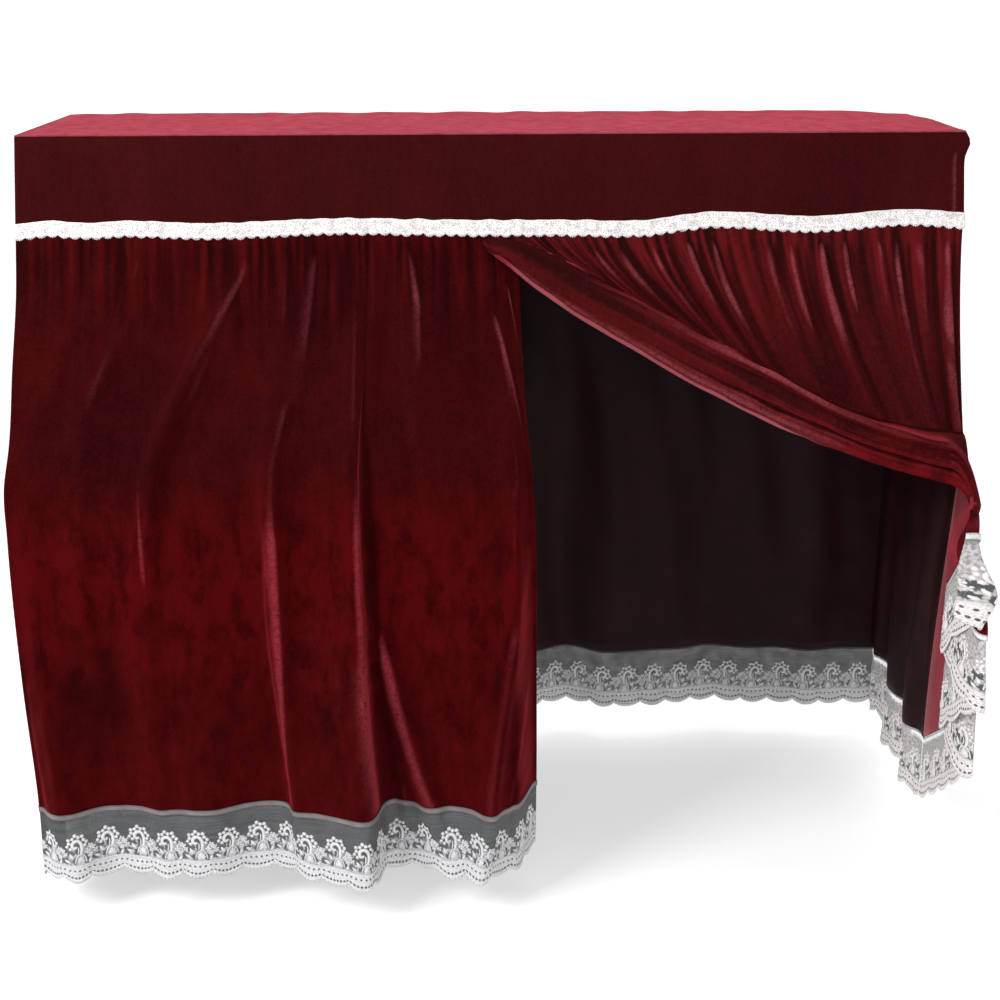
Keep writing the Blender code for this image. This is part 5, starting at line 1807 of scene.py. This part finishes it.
def floor_material(colours):
    material, tree, shader = new_material("Floor")
    grain = noise(place_in(tree), 3.0)
    dim = solid(0.985 * part for part in colours.floor)
    tree.links.new(blended(grain, dim, solid(colours.floor)).socket, shader.inputs["Base Color"])
    shader.inputs["Roughness"].default_value = 0.8
    shader.inputs["Emission Color"].default_value = (1.0, 1.0, 1.0, 1.0)
    shader.inputs["Emission Strength"].default_value = FLOOR_GLOW
    return material


def make_backdrop(colours):
    """A pale floor that curves up into a backdrop."""
    turns = np.linspace(0.0, math.pi / 2, 13)
    back = BACKDROP_START + BACKDROP_BEND * np.sin(turns)
    bend = np.column_stack([back, FLOOR + BACKDROP_BEND * (1 - np.cos(turns))])
    line = np.concatenate([[(-BACKDROP_REACH, FLOOR)], bend, [(back[-1], BACKDROP_TOP)]])
    net = np.stack([point(x, line[:, 0], line[:, 1]) for x in (BACKDROP_REACH, -BACKDROP_REACH)])
    number = np.arange(2 * len(line)).reshape(2, -1)
    return add_mesh("floor", net.reshape(-1, 3), [cells_of(number)], [floor_material(colours)])


def add_light(name, place, target, size, power):
    lamp = bpy.data.lights.new(name, "AREA")
    lamp.shape = "RECTANGLE"
    lamp.size, lamp.size_y = size
    lamp.energy = power
    light = bpy.data.objects.new(name, lamp)
    light.location = place
    light.rotation_euler = (Vector(target) - Vector(place)).to_track_quat("-Z", "Y").to_euler()
    bpy.context.scene.collection.objects.link(light)
    return light


def add_camera():
    camera = bpy.data.objects.new("camera", bpy.data.cameras.new("camera"))
    camera.data.sensor_width = SENSOR_WIDTH
    camera.data.lens = FOCAL_LENGTH
    camera.data.shift_x = CAMERA_SHIFT
    tilt = Matrix.Rotation(math.radians(90 - CAMERA_PITCH), 4, "X")
    roll = Matrix.Rotation(math.radians(CAMERA_ROLL), 4, "Z")
    camera.matrix_world = Matrix.Translation(CAMERA_PLACE) @ tilt @ roll
    bpy.context.scene.collection.objects.link(camera)
    bpy.context.scene.camera = camera


def make_stage(colours):
    make_backdrop(colours)
    add_light("key", (-2.6, -2.6, 1.7), (0.0, -0.3, -0.5), (1.4, 1.4), 147.0)
    add_light("fill", (2.6, -3.2, 0.6), (0.1, -0.3, -0.6), (2.4, 2.0), 34.0)
    add_light("above", (0.2, 0.4, 2.6), (0.0, 0.0, 0.0), (2.6, 1.6), 46.0)
    world = bpy.data.worlds.new("studio")
    world.use_nodes = True
    world.node_tree.nodes["Background"].inputs["Color"].default_value = (1.0, 1.0, 1.0, 1.0)
    world.node_tree.nodes["Background"].inputs["Strength"].default_value = WORLD_LIGHT
    bpy.context.scene.world = world
    bpy.context.scene.view_settings.view_transform = "Standard"
    add_camera()


# Operators


class COVER_OT_top(Operator):
    """Make the top panel and the four bands"""

    bl_idname = "cover.top"
    bl_label = "Top and Bands"
    bl_options = {"REGISTER", "UNDO"}

    def execute(self, context):
        size, colours = context.scene.cover_sizes, context.scene.cover_colours
        make_top(size, colours)
        for wall, columns in (("front", 200), ("right", 50), ("back", 120), ("left", 50)):
            make_band(wall, columns, size, colours)
        return {"FINISHED"}


class COVER_OT_skirt(Operator):
    """Make the velvet of the skirt: two front leaves, two sides and the back"""

    bl_idname = "cover.skirt"
    bl_label = "Velvet Skirt"
    bl_options = {"REGISTER", "UNDO"}

    def execute(self, context):
        size, colours = context.scene.cover_sizes, context.scene.cover_colours
        make_leaf(size, colours)
        make_swept_leaf(size, colours)
        for row in WALLS.values():
            make_wall(row, size, colours)
        return {"FINISHED"}


class COVER_OT_trim(Operator):
    """Make the lace trim over the seam between bands and skirt"""

    bl_idname = "cover.trim"
    bl_label = "Lace Trim"
    bl_options = {"REGISTER", "UNDO"}

    def execute(self, context):
        for wall in ("front", "right", "back", "left"):
            make_trim(wall, context.scene.cover_sizes, context.scene.cover_colours)
        return {"FINISHED"}


class COVER_OT_hem(Operator):
    """Make the hem's net, its embroidery, the header tape and its stitches"""

    bl_idname = "cover.hem"
    bl_label = "Hem Lace"
    bl_options = {"REGISTER", "UNDO"}

    def execute(self, context):
        for place in ("left_leaf", "right_leaf", *WALLS):
            make_hem_lace(place, context.scene.cover_sizes, context.scene.cover_colours)
        return {"FINISHED"}


class COVER_OT_stage(Operator):
    """Make the floor, the lights and the camera"""

    bl_idname = "cover.stage"
    bl_label = "Stage"
    bl_options = {"REGISTER", "UNDO"}

    def execute(self, context):
        make_stage(context.scene.cover_colours)
        return {"FINISHED"}


OPERATORS = (COVER_OT_top, COVER_OT_skirt, COVER_OT_trim, COVER_OT_hem, COVER_OT_stage)


class COVER_PT_panel(Panel):
    bl_label = "Piano Cover"
    bl_idname = "COVER_PT_panel"
    bl_space_type = "VIEW_3D"
    bl_region_type = "UI"
    bl_category = "Cover"

    def draw(self, context):
        layout = self.layout
        for settings in (context.scene.cover_sizes, context.scene.cover_colours):
            for name in settings.__annotations__:
                layout.prop(settings, name)
        for operator in OPERATORS:
            layout.operator(operator.bl_idname)


CLASSES = (CoverSizes, CoverColours, *OPERATORS, COVER_PT_panel)


def register():
    for item in CLASSES:
        bpy.utils.register_class(item)
    bpy.types.Scene.cover_sizes = PointerProperty(type=CoverSizes)
    bpy.types.Scene.cover_colours = PointerProperty(type=CoverColours)


def unregister():
    del bpy.types.Scene.cover_colours
    del bpy.types.Scene.cover_sizes
    for item in reversed(CLASSES):
        bpy.utils.unregister_class(item)


def main():
    register()
    for operator in OPERATORS:
        getattr(bpy.ops.cover, operator.bl_idname.split(".")[1])()


if __name__ == "__main__":
    main()
